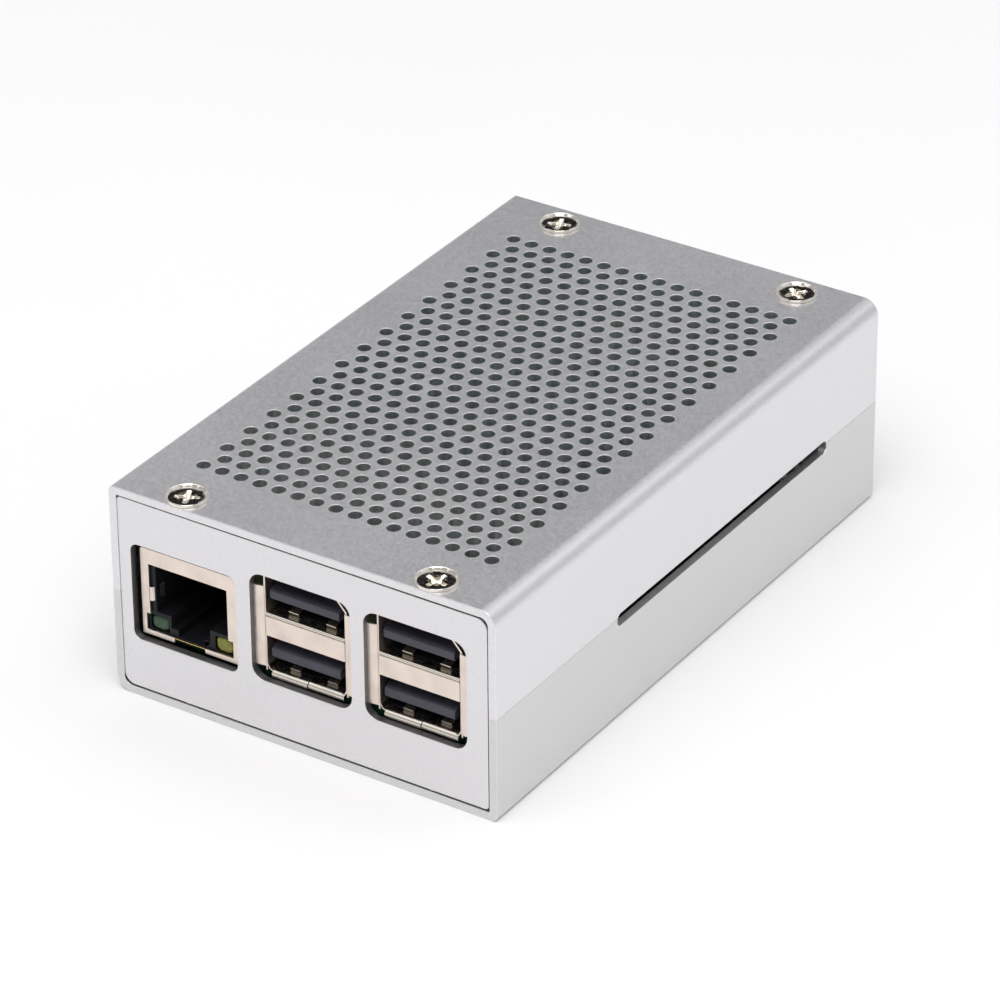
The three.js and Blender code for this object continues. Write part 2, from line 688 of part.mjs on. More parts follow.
const board = new THREE.Group();
object.add(board);
add("circuit_board", makeBoard(), FINISH.board, board);
add("processor_chip", chip(32, 28.5, 14, 14, 1.3), FINISH.chip, board);
add("memory_chip", chip(32, 28.5, 12, 11.5, 1, true), FINISH.chip, board);
add("port_hub_chip", chip(32, 54.5, 9, 9, 0.9), FINISH.chip, board);
add("power_chip", chip(15.5, 13.5, 5, 5, 0.9), FINISH.chip, board);
add("power_coil", chip(15.5, 20, 4.4, 4.4, 2), FINISH.ferrite, board);
add("crystal_can", chip(23.2, 56.5, 4.6, 11, 3.6), FINISH.capacitor, board);
const capacitor = rod(2.5, boardX(7.2), boardY(20.1), BOARD.top, BOARD.top + 5.6);
add("smoothing_capacitor", capacitor, FINISH.capacitor, board);
add("power_light", chip(8, 1.4, 1.6, 0.9, 0.8), FINISH.lightClear, board);
add("activity_light", chip(11, 1.4, 1.6, 0.9, 0.8), FINISH.lightClear, board);

add("ethernet_shield", makeEthernetShield(), FINISH.tinplate, board);
add("ethernet_insert", makeEthernetInsert(), FINISH.socketBlack, board);
add("ethernet_light_left", ethernetLight(-1), FINISH.lightGreen, board);
add("ethernet_light_right", ethernetLight(1), FINISH.lightYellow, board);
USB.across.forEach((across, i) => {
  add(`usb_shield_${i + 1}`, usbShield(boardX(across)), FINISH.tinplate, board);
  add(`usb_insert_${i + 1}`, usbInsert(boardX(across)), FINISH.tongue, board);
});

add("hdmi_shell", makeHdmiShell(), FINISH.tinplate, board);
add("hdmi_tongue", sideTongue(HDMI, 0.72, 1.1, 9), FINISH.socketBlack, board);
add("power_shell", makePowerShell(), FINISH.tinplate, board);
add("power_tongue", sideTongue(POWER, 0.5, 0.6, 4.6), FINISH.socketBlack, board);
add("audio_jack", makeAudioJack(), FINISH.socketBlack, board);

const ribbonPlaces = { camera: [11.8, 45], display: [28, 3.9] };
for (const [name, place] of Object.entries(ribbonPlaces)) {
  add(`${name}_connector`, ribbonBody(...place), FINISH.cream, board);
  add(`${name}_latch`, ribbonLatch(...place), FINISH.chip, board);
}
add("pin_header", makeHeader(), FINISH.gold, board);
add("card_socket", makeCardSocket(), FINISH.tinplate, board);
add("memory_card", makeCard(), FINISH.socketBlack, board);

export default object;
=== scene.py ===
import math
import random

import bmesh
import bpy
from mathutils import Matrix, Vector
from mathutils.geometry import delaunay_2d_cdt


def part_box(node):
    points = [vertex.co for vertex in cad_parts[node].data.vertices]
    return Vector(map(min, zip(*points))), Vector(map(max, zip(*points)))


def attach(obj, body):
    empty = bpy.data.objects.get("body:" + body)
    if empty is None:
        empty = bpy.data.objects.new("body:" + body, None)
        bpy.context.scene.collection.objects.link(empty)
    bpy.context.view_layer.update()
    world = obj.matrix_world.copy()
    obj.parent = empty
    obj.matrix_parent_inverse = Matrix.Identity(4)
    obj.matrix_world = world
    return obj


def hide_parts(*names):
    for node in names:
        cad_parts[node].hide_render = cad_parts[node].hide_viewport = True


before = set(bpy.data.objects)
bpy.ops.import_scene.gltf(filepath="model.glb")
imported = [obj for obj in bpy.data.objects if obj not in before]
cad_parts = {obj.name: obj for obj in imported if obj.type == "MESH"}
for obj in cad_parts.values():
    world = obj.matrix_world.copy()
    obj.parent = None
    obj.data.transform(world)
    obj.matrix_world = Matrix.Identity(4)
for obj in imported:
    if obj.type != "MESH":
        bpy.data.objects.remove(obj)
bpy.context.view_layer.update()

MM = 0.001


def box_mm(node):
    """A CAD node's lowest and highest corners and its middle, in millimetres."""
    low, high = [corner * 1000 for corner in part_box(node)]
    return low, high, (low + high) / 2


def centre_of(node):
    return box_mm(node)[2]


def four(name):
    return [f"{name}_{i}" for i in range(1, 5)]


# ---- driving dimensions, mm

HALF_W, HALF_L, _ = box_mm("bottom_shell")[1]
HEIGHT = box_mm("top_cover")[1].z
BOARD_LOW, BOARD_HIGH, _ = box_mm("circuit_board")
BOARD_TOP = BOARD_HIGH.z
WALL = 1.2
WIDE_BEND = 2.4
TIGHT_BEND = 0.9

VENT_RADIUS = 1.0
VENT_ROWS = 29
VENT_LONG_ROW = 16
VENT_PITCH = (3.065, 2.725)
VENT_CENTRE_Y = -0.3

SCREW_HOLE = 2.45
PARTING = 15.8
SLOT_Y = (-19.9, 35.6)
SLOT_Z = 15.35
SLOT_RADIUS = 0.95

FLAT_CREASE = 15  # degrees between faces that stay a sharp edge
HEAD_CREASE = 35


# ---- outlines

def arc(x, y, radius, start, end, steps):
    """Points along an arc, both ends included, with its angles in degrees."""
    angles = [math.radians(start + (end - start) * i / steps) for i in range(steps + 1)]
    return [Vector((x + radius * math.cos(a), y + radius * math.sin(a))) for a in angles]


def circle(x, y, radius, sides=32):
    return arc(x, y, radius, 0, 360 - 360 / sides, sides - 1)


def rounded_rect(x0, x1, y0, y1, radii, steps=5):
    """A rectangle with one radius, or four: lower left, lower right, upper right, upper left."""
    a, b, c, d = radii if isinstance(radii, (list, tuple)) else [radii] * 4
    return (
        arc(x0 + a, y0 + a, a, 180, 270, steps)
        + arc(x1 - b, y0 + b, b, 270, 360, steps)
        + arc(x1 - c, y1 - c, c, 0, 90, steps)
        + arc(x0 + d, y1 - d, d, 90, 180, steps)
    )


def plan(low, high, radius, grow=0.0, steps=5):
    """A box's rounded outline seen from above, grown all round."""
    return rounded_rect(low.x - grow, high.x + grow, low.y - grow, high.y + grow, radius, steps)


def loop_of(points):
    return [Vector(p) for p in points]


def placed(x, y, points):
    """Points measured from (x, y)."""
    return [Vector((x + a, y + b)) for a, b in points]


def signed_area(loop):
    return sum(loop[i - 1].cross(p) for i, p in enumerate(loop)) / 2


def turned_to(loop, anticlockwise):
    return loop if (signed_area(loop) > 0) == anticlockwise else loop[::-1]


def left_normal(a, b):
    d = (b - a).normalized()
    return Vector((-d.y, d.x))


def inset(loop, distance):
    """The loop moved to its left by a distance, with mitred corners."""
    moved = []
    for i, p in enumerate(loop):
        n0 = left_normal(loop[i - 1], p)
        n1 = left_normal(p, loop[(i + 1) % len(loop)])
        moved.append(p + (n0 + n1) * (distance / max(0.3, 1 + n0.dot(n1))))
    return moved


def thick_path(points, thickness):
    """The outline of a strip of even thickness whose middle follows the points."""
    path = loop_of(points)
    sides = ([], [])
    for i, p in enumerate(path):
        before = left_normal(path[i - 1], p) if i else left_normal(p, path[1])
        after = left_normal(p, path[i + 1]) if i + 1 < len(path) else before
        shift = (before + after) * (thickness / 2 / max(0.3, 1 + before.dot(after)))
        sides[0].append(p + shift)
        sides[1].append(p - shift)
    return turned_to(sides[1] + sides[0][::-1], True)


# ---- closed shapes

# How an outline's two axes and its thickness lie in space, for each direction of thickness.
LAY_X = lambda u, v, w: (w, u, v)
LAY_Y = lambda u, v, w: (u, -w, v)
LAY_Z = lambda u, v, w: (u, v, w)


class Shape:
    """A closed shape: points, faces, how much each point lies on a rounded rim, faces that bound cuts."""

    def __init__(self, points, faces, rims=None, cuts=()):
        self.points = points
        self.faces = faces
        self.rims = rims or [0.0] * len(points)
        self.cuts = set(cuts)

    def mapped(self, place):
        return Shape([place(*p) for p in self.points], self.faces, self.rims, self.cuts)

    def moved(self, x=0, y=0, z=0):
        return self.mapped(lambda a, b, c: (a + x, b + y, c + z))


def cap_faces(loops, creases):
    """Triangles that fill the first loop, around the others, with fold lines kept as edges."""
    flat = [p for loop in loops for p in loop]
    owner = [k for k, loop in enumerate(loops) for _ in loop]
    edges = []
    start = 0
    for loop in loops:
        edges += [(start + i, start + (i + 1) % len(loop)) for i in range(len(loop))]
        start += len(loop)
    for u in creases:
        on_line = [i for i in range(len(loops[0])) if abs(flat[i].x - u) < 1e-4]
        edges.append((on_line[0], on_line[-1]))
    _, _, faces, origins, _, _ = delaunay_2d_cdt(flat, edges, [], 1, 1e-5)
    triangles = []
    for face in faces:
        corners = [origins[i][0] for i in face]
        owners = {owner[i] for i in corners}
        if len(owners) > 1 or owners == {0}:
            triangles.append(corners)
    return triangles


def sheet(outline, w0, w1, edge=0.1, holes=(), lay=LAY_Z, creases=(), steps=2):
    """A flat piece between two levels, with rounded rims round its outline and its holes."""
    loops = [turned_to(loop_of(outline), True)] + [turned_to(loop_of(h), False) for h in holes]
    levels = []
    for i in range(steps + 1):
        a = math.pi / 2 * i / steps
        rim = math.sin(2 * a) if edge > 0 else 0
        levels.append((edge * (1 - math.sin(a)), edge * (1 - math.cos(a)), rim))
    profile = [(d, w0 + h, rim) for d, h, rim in levels]
    profile += [(d, w1 - h, rim) for d, h, rim in reversed(levels)]
    points, rims, faces, cuts = [], [], [], []
    for loop in loops:
        rings = []
        for d, w, rim in profile:
            rings.append(len(points))
            points += [(p.x, p.y, w) for p in inset(loop, d)]
            rims += [rim] * len(loop)
        n = len(loop)
        for k, (low, high) in enumerate(zip(rings, rings[1:])):
            if k == steps and loop is not loops[0]:
                cuts += range(len(faces), len(faces) + n)
            faces += [(low + i, low + (i + 1) % n, high + (i + 1) % n, high + i) for i in range(n)]
    tops = [inset(loop, edge) for loop in loops]
    lower, upper = [], []
    start = 0
    for loop in loops:
        n = len(loop)
        lower += range(start, start + n)
        upper += range(start + n * (len(profile) - 1), start + n * len(profile))
        start += n * len(profile)
    for a, b, c in cap_faces(tops, creases):
        faces.append((upper[a], upper[b], upper[c]))
        faces.append((lower[c], lower[b], lower[a]))
    return Shape(points, faces, rims, cuts).mapped(lay)


def strip(path, thickness, start, end, edge=0.05, lay=LAY_X, steps=2):
    """Sheet metal bent along a path, between two levels."""
    return sheet(thick_path(path, thickness), start, end, edge, lay=lay, steps=steps)


def block(low, high, edge=0.1, steps=2):
    """A box between two corners with all its edges rounded."""
    bm = bmesh.new()
    bmesh.ops.create_cube(bm, size=1)
    size = [b - a for a, b in zip(low, high)]
    for v in bm.verts:
        v.co = Vector([a + s * (c + 0.5) for a, s, c in zip(low, size, v.co)])
    edge = min(edge, min(size) * 0.45)
    bmesh.ops.bevel(bm, geom=bm.edges[:], offset=edge, segments=steps, profile=0.5, affect="EDGES")
    bm.verts.ensure_lookup_table()
    points = [tuple(v.co) for v in bm.verts]
    faces = [tuple(v.index for v in f.verts) for f in bm.faces]
    slivers = [max(f.calc_area() for f in v.link_faces) for v in bm.verts]
    largest = max(f.calc_area() for f in bm.faces)
    rims = [1.0 if a < largest * 0.01 else 0.0 for a in slivers]
    bm.free()
    return Shape(points, faces, rims)


def turned(profile, sides=32, x=0, y=0, lay=LAY_Z):
    """A solid of revolution; the profile lists (radius, level) from the axis back to the axis."""
    points, faces = [], []
    rows = []
    for radius, level in profile:
        if radius < 1e-6:
            rows.append([len(points)])
            points.append((x, y, level))
            continue
        rows.append(list(range(len(points), len(points) + sides)))
        for i in range(sides):
            a = 2 * math.pi * i / sides
            points.append((x + radius * math.cos(a), y + radius * math.sin(a), level))
    for low, high in zip(rows, rows[1:]):
        for i in range(sides):
            j = (i + 1) % sides
            corners = [low[i % len(low)], low[j % len(low)], high[j % len(high)], high[i % len(high)]]
            face = tuple(dict.fromkeys(corners))
            if len(face) > 2:
                faces.append(face)
    return Shape(points, faces).mapped(lay)


def wire(path, radius, sides=8):
    """A round wire along a list of points, with flat ends."""
    centres = [Vector(p) for p in path]
    points, faces = [], []
    side = None
    for i, c in enumerate(centres):
        ahead = centres[min(i + 1, len(centres) - 1)] - centres[max(i - 1, 0)]
        ahead.normalize()
        side = (side or ahead.orthogonal()) - ahead * ahead.dot(side or ahead.orthogonal())
        side.normalize()
        up = ahead.cross(side)
        for k in range(sides):
            a = 2 * math.pi * k / sides
            points.append(tuple(c + (side * math.cos(a) + up * math.sin(a)) * radius))
    for i in range(len(centres) - 1):
        for k in range(sides):
            j = (k + 1) % sides
            a, b = i * sides, (i + 1) * sides
            faces.append((a + k, a + j, b + j, b + k))
    faces.append(tuple(reversed(range(sides))))
    faces.append(tuple(range(len(points) - sides, len(points))))
    return Shape(points, faces)


# ---- objects

class Piece:
    """One object of the visual model: shapes with their finishes, riding on a CAD body.

    A piece named after a CAD node takes that node's place.
    """

    def __init__(self, name):
        self.name = name
        self.parts = []

    def add(self, finish, *shapes, cut=None):
        """Shapes with their finish, and if it differs the finish inside their cuts."""
        self.parts += [(finish, cut or finish, shape) for shape in shapes]
        return self

    def done(self, slot, body="case", creased=40):
        mesh = bpy.data.meshes.new(self.name)
        points, faces, rims, indices, finishes = [], [], [], [], []
        for finish, cut, shape in self.parts:
            finishes += [f for f in (finish, cut) if f not in finishes]
            start = len(points)
            points += [(x * MM, y * MM, z * MM) for x, y, z in shape.points]
            faces += [tuple(i + start for i in face) for face in shape.faces]
            rims += shape.rims
            pair = (finishes.index(finish), finishes.index(cut))
            indices += [pair[i in shape.cuts] for i in range(len(shape.faces))]
        mesh.from_pydata(points, [], faces)
        for used in finishes:
            mesh.materials.append(used)
        mesh.polygons.foreach_set("material_index", indices)
        mesh.attributes.new("rim", "FLOAT", "POINT").data.foreach_set("value", rims)
        mesh.validate()
        mesh.shade_smooth()
        mesh.set_sharp_from_angle(angle=math.radians(creased))
        piece = linked(bpy.data.objects.new(self.name, mesh))
        piece.modifiers.new("face_weighted_normals", "WEIGHTED_NORMAL").keep_sharp = True
        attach(piece, body)
        if self.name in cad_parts:
            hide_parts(self.name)


def linked(item):
    bpy.context.scene.collection.objects.link(item)
    return item


# ---- finishes

class Nodes:
    """Short calls that add nodes to a shader tree."""

    def __init__(self, tree):
        self.tree = tree

    def node(self, kind, links=None, **settings):
        node = self.tree.nodes.new(kind)
        for key, value in settings.items():
            setattr(node, key, value)
        for key, value in (links or {}).items():
            self.put(node.inputs[key], value)
        return node

    def put(self, socket, value):
        if isinstance(value, bpy.types.NodeSocket):
            self.tree.links.new(value, socket)
        else:
            socket.default_value = value

    def math(self, operation, a, b=0.0):
        return self.node("ShaderNodeMath", {0: a, 1: b}, operation=operation).outputs[0]

    def times(self, a, b):
        return self.math("MULTIPLY", a, b)

    def ramp(self, value, low, high, out_low=0.0, out_high=1.0, curve="LINEAR"):
        links = {"Value": value, "From Min": low, "From Max": high, "To Min": out_low, "To Max": out_high}
        return self.node("ShaderNodeMapRange", links, interpolation_type=curve).outputs["Result"]

    def mix(self, factor, a, b):
        """A blend of two colours, given as sockets or as (r, g, b)."""
        node = self.node("ShaderNodeMix", data_type="RGBA")
        for socket, value in ((node.inputs[0], factor), (node.inputs[6], a), (node.inputs[7], b)):
            self.put(socket, (*value, 1) if isinstance(value, tuple) else value)
        return node.outputs[2]


class Finish(Nodes):
    """A procedural material under construction, round its Principled shader."""

    def __init__(self, name, color, roughness, metallic=0.0):
        self.material = bpy.data.materials.new(name)
        self.material.use_nodes = True
        super().__init__(self.material.node_tree)
        self.shader = self.tree.nodes["Principled BSDF"]
        self.color = color
        self.roughness = roughness
        self.height = None
        self.place = self.node("ShaderNodeTexCoord").outputs["Object"]
        self.constants({"Base Color": (*color, 1), "Roughness": roughness, "Metallic": metallic})

    def constants(self, values):
        for key, value in values.items():
            self.shader.inputs[key].default_value = value

    def noise(self, per_mm, detail=2.0, stretch=(1, 1, 1), roughness=0.5):
        """Noise with so many features to a millimetre, stretched by dividing an axis's frequency."""
        scale = [per_mm * 1000 / s for s in stretch]
        mapped = self.node("ShaderNodeMapping", {"Vector": self.place, "Scale": scale}).outputs[0]
        links = {"Vector": mapped, "Scale": 1.0, "Detail": detail, "Roughness": roughness}
        return self.node("ShaderNodeTexNoise", links).outputs["Fac"]

    def on_rims(self, share):
        return self.times(self.node("ShaderNodeAttribute", attribute_name="rim").outputs["Fac"], share)

    def tone(self, factor):
        """The base colour, lighter or darker."""
        return tuple(c * factor for c in self.color)

    def drift(self, texture, low, high, dark, light):
        """The base colour, from a dark tone to a light one as a texture goes from low to high."""
        return self.mix(self.ramp(texture, low, high), self.tone(dark), self.tone(light))

    def paint(self, value):
        self.put(self.shader.inputs["Base Color"], value)

    def rough(self, value):
        self.put(self.shader.inputs["Roughness"], value)

    def uneven(self, texture, low, high, less, more):
        """The roughness, from a little less to a little more as a texture goes from low to high."""
        return self.ramp(texture, low, high, self.roughness - less, self.roughness + more)

    def bump(self, height, depth_mm, strength):
        links = {"Height": height, "Distance": depth_mm * MM, "Strength": strength}
        node = self.node("ShaderNodeBump", links)
        if self.height:
            self.put(node.inputs["Normal"], self.height)
        self.height = node.outputs["Normal"]
        self.put(self.shader.inputs["Normal"], self.height)


def blasted_aluminium(name, color, along, roughness=0.4):
    """Bead-blasted anodised sheet: a fine grain, faint rolling lines, cloudy handling, rims lightened as a
    painted highlight.
    """
    f = Finish(name, color, roughness, 1.0)
    grain = f.noise(2.8, 3.0, roughness=0.7)
    lines = f.noise(3.0, 3.0, (1, 4, 1) if along == "Y" else (4, 1, 1))
    clouds = f.noise(0.045, 3.0)
    tint = f.drift(grain, 0.35, 0.7, 0.93, 1.03)
    tint = f.mix(f.ramp(clouds, 0.35, 0.7, 0.0, 0.35), tint, f.tone(0.97))
    # rims lightened towards near white: a painted highlight
    f.paint(f.mix(f.on_rims(0.3), tint, (0.93, 0.93, 0.94)))
    texture = f.math("ADD", grain, f.times(lines, 0.25))
    base = f.math("ADD", f.uneven(texture, 0.45, 0.8, 0.04, 0.06), f.ramp(clouds, 0.35, 0.7, -0.012, 0.012))
    f.rough(f.math("SUBTRACT", base, f.on_rims(0.12)))
    f.bump(grain, 0.012, 0.55)
    f.bump(lines, 0.002, 0.3)
    return f.material


def plated_sheet(name, color, roughness, streak=0.4):
    """Nickel-plated folded sheet: soft rolling streaks, small stains, rims lightened as a painted highlight.
    """
    f = Finish(name, color, roughness, 1.0)
    streaks = f.noise(1.6, 3.0, (1, 1, 10))
    stains = f.noise(0.35, 4.0)
    tint = f.mix(f.ramp(stains, 0.4, 0.75, 0, 0.6), color, f.tone(0.82))
    # rims lightened towards a pale warm grey: a painted highlight
    f.paint(f.mix(f.on_rims(0.5), tint, (0.92, 0.89, 0.85)))
    f.rough(f.math("ADD", f.uneven(streaks, 0.3, 0.7, 0.06, 0.08), f.ramp(stains, 0.4, 0.75, 0, 0.08)))
    f.bump(streaks, 0.004, streak)
    return f.material


def bright_plate(name, color, roughness):
    """Bright nickel on a turned head: tiny scuffs that dull and darken it."""
    f = Finish(name, color, roughness, 1.0)
    scuffs = f.noise(2.2, 5.0, roughness=0.65)
    f.rough(f.uneven(scuffs, 0.45, 0.75, 0, 0.14))
    f.paint(f.mix(f.ramp(scuffs, 0.5, 0.8, 0, 0.5), color, f.tone(0.8)))
    f.bump(scuffs, 0.004, 0.3)
    return f.material


def moulded(name, color, roughness, grain=0.012, sheen=0.5):
    """Moulded plastic: fine spark-eroded texture, slight colour drift, and a painted highlight that lightens
    the rims.
    """
    f = Finish(name, color, roughness)
    texture = f.noise(6.0, 3.0, roughness=0.65)
    tint = f.drift(f.noise(0.25, 3.0), 0.3, 0.7, 0.85, 1.15)
    # rims lightened: a painted highlight
    f.paint(f.mix(f.on_rims(0.35), tint, tuple(min(1, c * 1.6 + 0.015) for c in color)))
    f.rough(f.uneven(texture, 0.3, 0.7, 0.08, 0.08))
    f.constants({"Specular IOR Level": sheen})
    f.bump(texture, grain, 0.5)
    return f.material


def resin(name, color, roughness):
    """Cast light-pipe resin: partly clear, with faint flow marks."""
    f = Finish(name, color, roughness)
    flow = f.noise(1.2, 2.0)
    f.constants({
        "Transmission Weight": 0.35, "IOR": 1.5, "Subsurface Weight": 0.3, "Subsurface Scale": 0.001,
    })
    f.paint(f.drift(flow, 0.3, 0.7, 0.8, 1.2))
    f.rough(f.uneven(flow, 0.3, 0.7, 0, 0.1))
    f.bump(flow, 0.01, 0.3)
    return f.material


def laminate(name):
    """Green solder mask over printed copper: bundles of tracks, ground fill, vias and faint weave."""
    dark, light = (0.006, 0.062, 0.028), (0.016, 0.135, 0.06)
    f = Finish(name, dark, 0.32)

    def choice(pick, a, b):
        return f.math("ADD", f.times(a, pick), f.times(b, f.math("SUBTRACT", 1.0, pick)))

    links = {"Vector": f.place, "Scale": 150.0, "Randomness": 1.0}
    regions = f.node("ShaderNodeTexVoronoi", links, distance="CHEBYCHEV")
    pick = f.node("ShaderNodeSeparateColor", {"Color": regions.outputs["Color"]}).outputs[0]
    axes = f.node("ShaderNodeSeparateXYZ", {"Vector": f.place})
    x, y = axes.outputs["X"], axes.outputs["Y"]
    slanted = f.times(f.math("ADD", x, y), 0.7071)
    across = choice(f.math("GREATER_THAN", pick, 0.45), x, y)
    run = choice(f.math("GREATER_THAN", pick, 0.8), slanted, across)
    tracks = f.ramp(f.math("PINGPONG", f.times(run, 2400.0), 1.0), 0.42, 0.58)
    copper = f.math("MAXIMUM", tracks, f.ramp(f.noise(0.16, 1.0), 0.5, 0.52))
    dots = f.node("ShaderNodeTexVoronoi", {"Vector": f.place, "Scale": 420.0}).outputs["Distance"]
    via = f.times(f.ramp(dots, 0.13, 0.10), 0.75)
    tint = f.mix(via, f.mix(copper, dark, light), (0.42, 0.36, 0.16))
    f.paint(f.mix(f.ramp(dots, 0.065, 0.05), tint, (0.01, 0.012, 0.01)))
    weave = f.noise(1.5, 2.0)
    f.rough(f.ramp(weave, 0.3, 0.7, 0.26, 0.4))
    f.constants({"Coat Weight": 0.4, "Coat Roughness": 0.15})
    f.bump(copper, 0.035, 0.6)
    f.bump(weave, 0.01, 0.3)
    return f.material


def ceramic(name, color, roughness):
    """Sintered ceramic or ferrite of the small board parts: matt, speckled."""
    f = Finish(name, color, roughness)
    speck = f.noise(4.0, 4.0, roughness=0.8)
    f.paint(f.drift(speck, 0.35, 0.7, 0.75, 1.25))
    f.rough(f.uneven(speck, 0.3, 0.7, 0.1, 0.1))
    f.bump(speck, 0.02, 0.5)
    return f.material


ANODISED = blasted_aluminium("anodised_case", (0.77, 0.765, 0.775), "Y")
# A darker copy of the anodised finish for the lower shell: painted shade
SHADED_SHELL_METAL = blasted_aluminium("anodised_shell_painted_shade", (0.68, 0.68, 0.678), "Y")
PLATE = blasted_aluminium("end_plate", (0.76, 0.755, 0.765), "X")
# Walls of the punched holes, darker than the shells and tinted green-grey: painted shade and a painted
# reflection of the green board
CUT_METAL_SHADE_AND_BOARD_TINT = plated_sheet("punched_edge_painted_shade_and_board_tint", (0.54, 0.60, 0.60), 0.45)
# Walls of the end plates' openings, dark grey: painted shade inside the openings
SHADED_CUT_EDGE = plated_sheet("plate_cut_edge_painted_shade", (0.22, 0.22, 0.225), 0.5)
NICKEL = bright_plate("bright_screw", (0.82, 0.78, 0.71), 0.07)
SMALL_SCREW = bright_plate("board_screw", (0.74, 0.72, 0.68), 0.16)
STEEL = plated_sheet("spacer_metal", (0.60, 0.60, 0.58), 0.3)
SHIELD = plated_sheet("socket_shield", (0.79, 0.695, 0.62), 0.32)
SPRING = plated_sheet("rolled_lip", (0.68, 0.63, 0.56), 0.2, 0.08)
# A darker copy of the spring plating for springs inside the sockets: painted shade
SHADED_SPRING = plated_sheet("plug_spring_painted_shade", (0.34, 0.32, 0.28), 0.36, 0.08)
GOLD = plated_sheet("gold_contact", (0.88, 0.62, 0.24), 0.2)
BOARD = laminate("solder_mask")
CHIP = moulded("chip_package", (0.022, 0.022, 0.024), 0.5, 0.02)
BLACK = moulded("socket_black", (0.007, 0.007, 0.009), 0.5, sheen=0.28)
TONGUE = moulded("usb_tongue", (0.034, 0.035, 0.052), 0.42)
CREAM = moulded("connector_cream", (0.72, 0.66, 0.52), 0.45)
LATCH = moulded("latch_black", (0.03, 0.028, 0.027), 0.42)
CARD = moulded("card_black", (0.014, 0.014, 0.016), 0.38)
GREEN_LIGHT = resin("light_green", (0.025, 0.085, 0.035), 0.2)
YELLOW_LIGHT = resin("light_yellow", (0.30, 0.30, 0.025), 0.2)
CLEAR_LIGHT = resin("status_light", (0.80, 0.84, 0.76), 0.15)
CAN = bright_plate("can_metal", (0.70, 0.71, 0.73), 0.24)
FERRITE = ceramic("coil_ferrite", (0.055, 0.055, 0.06), 0.6)
TAN_CERAMIC = ceramic("tan_ceramic", (0.34, 0.22, 0.12), 0.45)
MARKING = ceramic("board_marking", (0.78, 0.79, 0.76), 0.55)
SOLDER = bright_plate("solder", (0.66, 0.67, 0.68), 0.22)


# ---- case shells

class Channel:
    """The bent channel of a shell, lying as the lower one does: unfolded it is a flat sheet.

    On the unfolded sheet, u equals x over the floor, and runs on round the bends and up the legs.
    """

    BEND_STEPS = 10
    ZONE = 3.0  # unfolded width that a bend takes
    BENDS = {-1: (WIDE_BEND, WIDE_BEND), 1: (TIGHT_BEND, WALL + 0.25)}  # outer radius, zone

    def __init__(self, leg_top):
        self.leg_top = leg_top
        self.creases = sorted(
            side * (HALF_W - zone + self.ZONE * i / self.BEND_STEPS)
            for side, (_, zone) in self.BENDS.items() for i in range(self.BEND_STEPS + 1)
        )

    def u_on_leg(self, side, z):
        """u of a height on the left leg (side -1) or the right one (+1)."""
        zone = self.BENDS[side][1]
        return side * (HALF_W - zone + self.ZONE + z - zone)

    def fold(self, u, y, w):
        """A point of the unfolded sheet, w into its thickness from the outer face, once bent."""
        side = -1 if u < 0 else 1
        radius, zone = self.BENDS[side]
        past = abs(u) - (HALF_W - zone)
        if past <= 0:
            return (u, y, w)
        if past >= self.ZONE:
            return (side * (HALF_W - w), y, past - self.ZONE + zone)
        share = past / self.ZONE
        straight = zone - radius
        run = share * (2 * straight + radius * math.pi / 2)
        if run < straight:
            outer = Vector((HALF_W - zone + run, 0))
        elif run > straight + radius * math.pi / 2:
            outer = Vector((HALF_W, zone - (2 * straight + radius * math.pi / 2 - run)))
        else:
            a = (run - straight) / radius
            outer = Vector((HALF_W - radius + radius * math.sin(a), radius - radius * math.cos(a)))
        a = share * math.pi / 2
        inner = Vector((HALF_W - zone, zone)) + Vector((math.sin(a), -math.cos(a))) * (zone - WALL)
        at = outer.lerp(inner, w / WALL)
        return (side * at.x, y, at.y)

    def free_edge(self, side, windows):
        """The leg's free edge from -Y to +Y, notched where a window (in y, z) crosses it."""
        ordered = sorted(windows, key=lambda loop: min(p.x for p in loop))
        edge = [(self.u_on_leg(side, z), y) for window in ordered for y, z in notch(window, self.leg_top)]
        top = self.u_on_leg(side, self.leg_top)
        return [(top, -HALF_L)] + edge + [(top, HALF_L)]

    def outline(self, left_windows, right_windows):
        front = [(u, -HALF_L) for u in self.creases]
        back = [(u, HALF_L) for u in reversed(self.creases)]
        return front + self.free_edge(1, right_windows) + back + self.free_edge(-1, left_windows)[::-1]


def notch(loop, level):
    """The part of a convex loop (in y, z) below a level, from its -Y end to its +Y end."""
    loop = turned_to(loop, True)
    points = []
    for i, p in enumerate(loop):
        q = loop[(i + 1) % len(loop)]
        if p.y <= level:
            points.append((p.x, p.y))
        if (p.y - level) * (q.y - level) < 0:
            points.append((p.x + (q.x - p.x) * (level - p.y) / (q.y - p.y), level))
    while points[0][0] > points[-1][0] or min(points[0][1], points[-1][1]) < level - 1e-9:
        points.append(points.pop(0))
    return points


def turned_over(x, y, z):
    """The cover is the lower channel turned over about the Y axis."""
    return (-x, y, HEIGHT - z)


def mirrored_window(loop):
    """A side window (in y, z) as the turned-over channel sees it."""
    return [Vector((p.x, HEIGHT - p.y)) for p in loop]


def side_window(node, margin=0.5):
    low, high, _ = box_mm(node)
    return rounded_rect(low.y - margin, high.y + margin, low.z - margin, high.z + margin, 0.6)


def vent_holes():
    holes = []
    for row in range(VENT_ROWS):
        count = VENT_LONG_ROW - row % 2
        y = VENT_CENTRE_Y + (row - (VENT_ROWS - 1) / 2) * VENT_PITCH[1]
        holes += [circle((i - (count - 1) / 2) * VENT_PITCH[0], y, VENT_RADIUS, 28) for i in range(count)]
    return holes


def bores(nodes, radius, sides):
    """Round holes on the axes of some nodes."""
    return [circle(*centre_of(n).xy, radius, sides) for n in nodes]


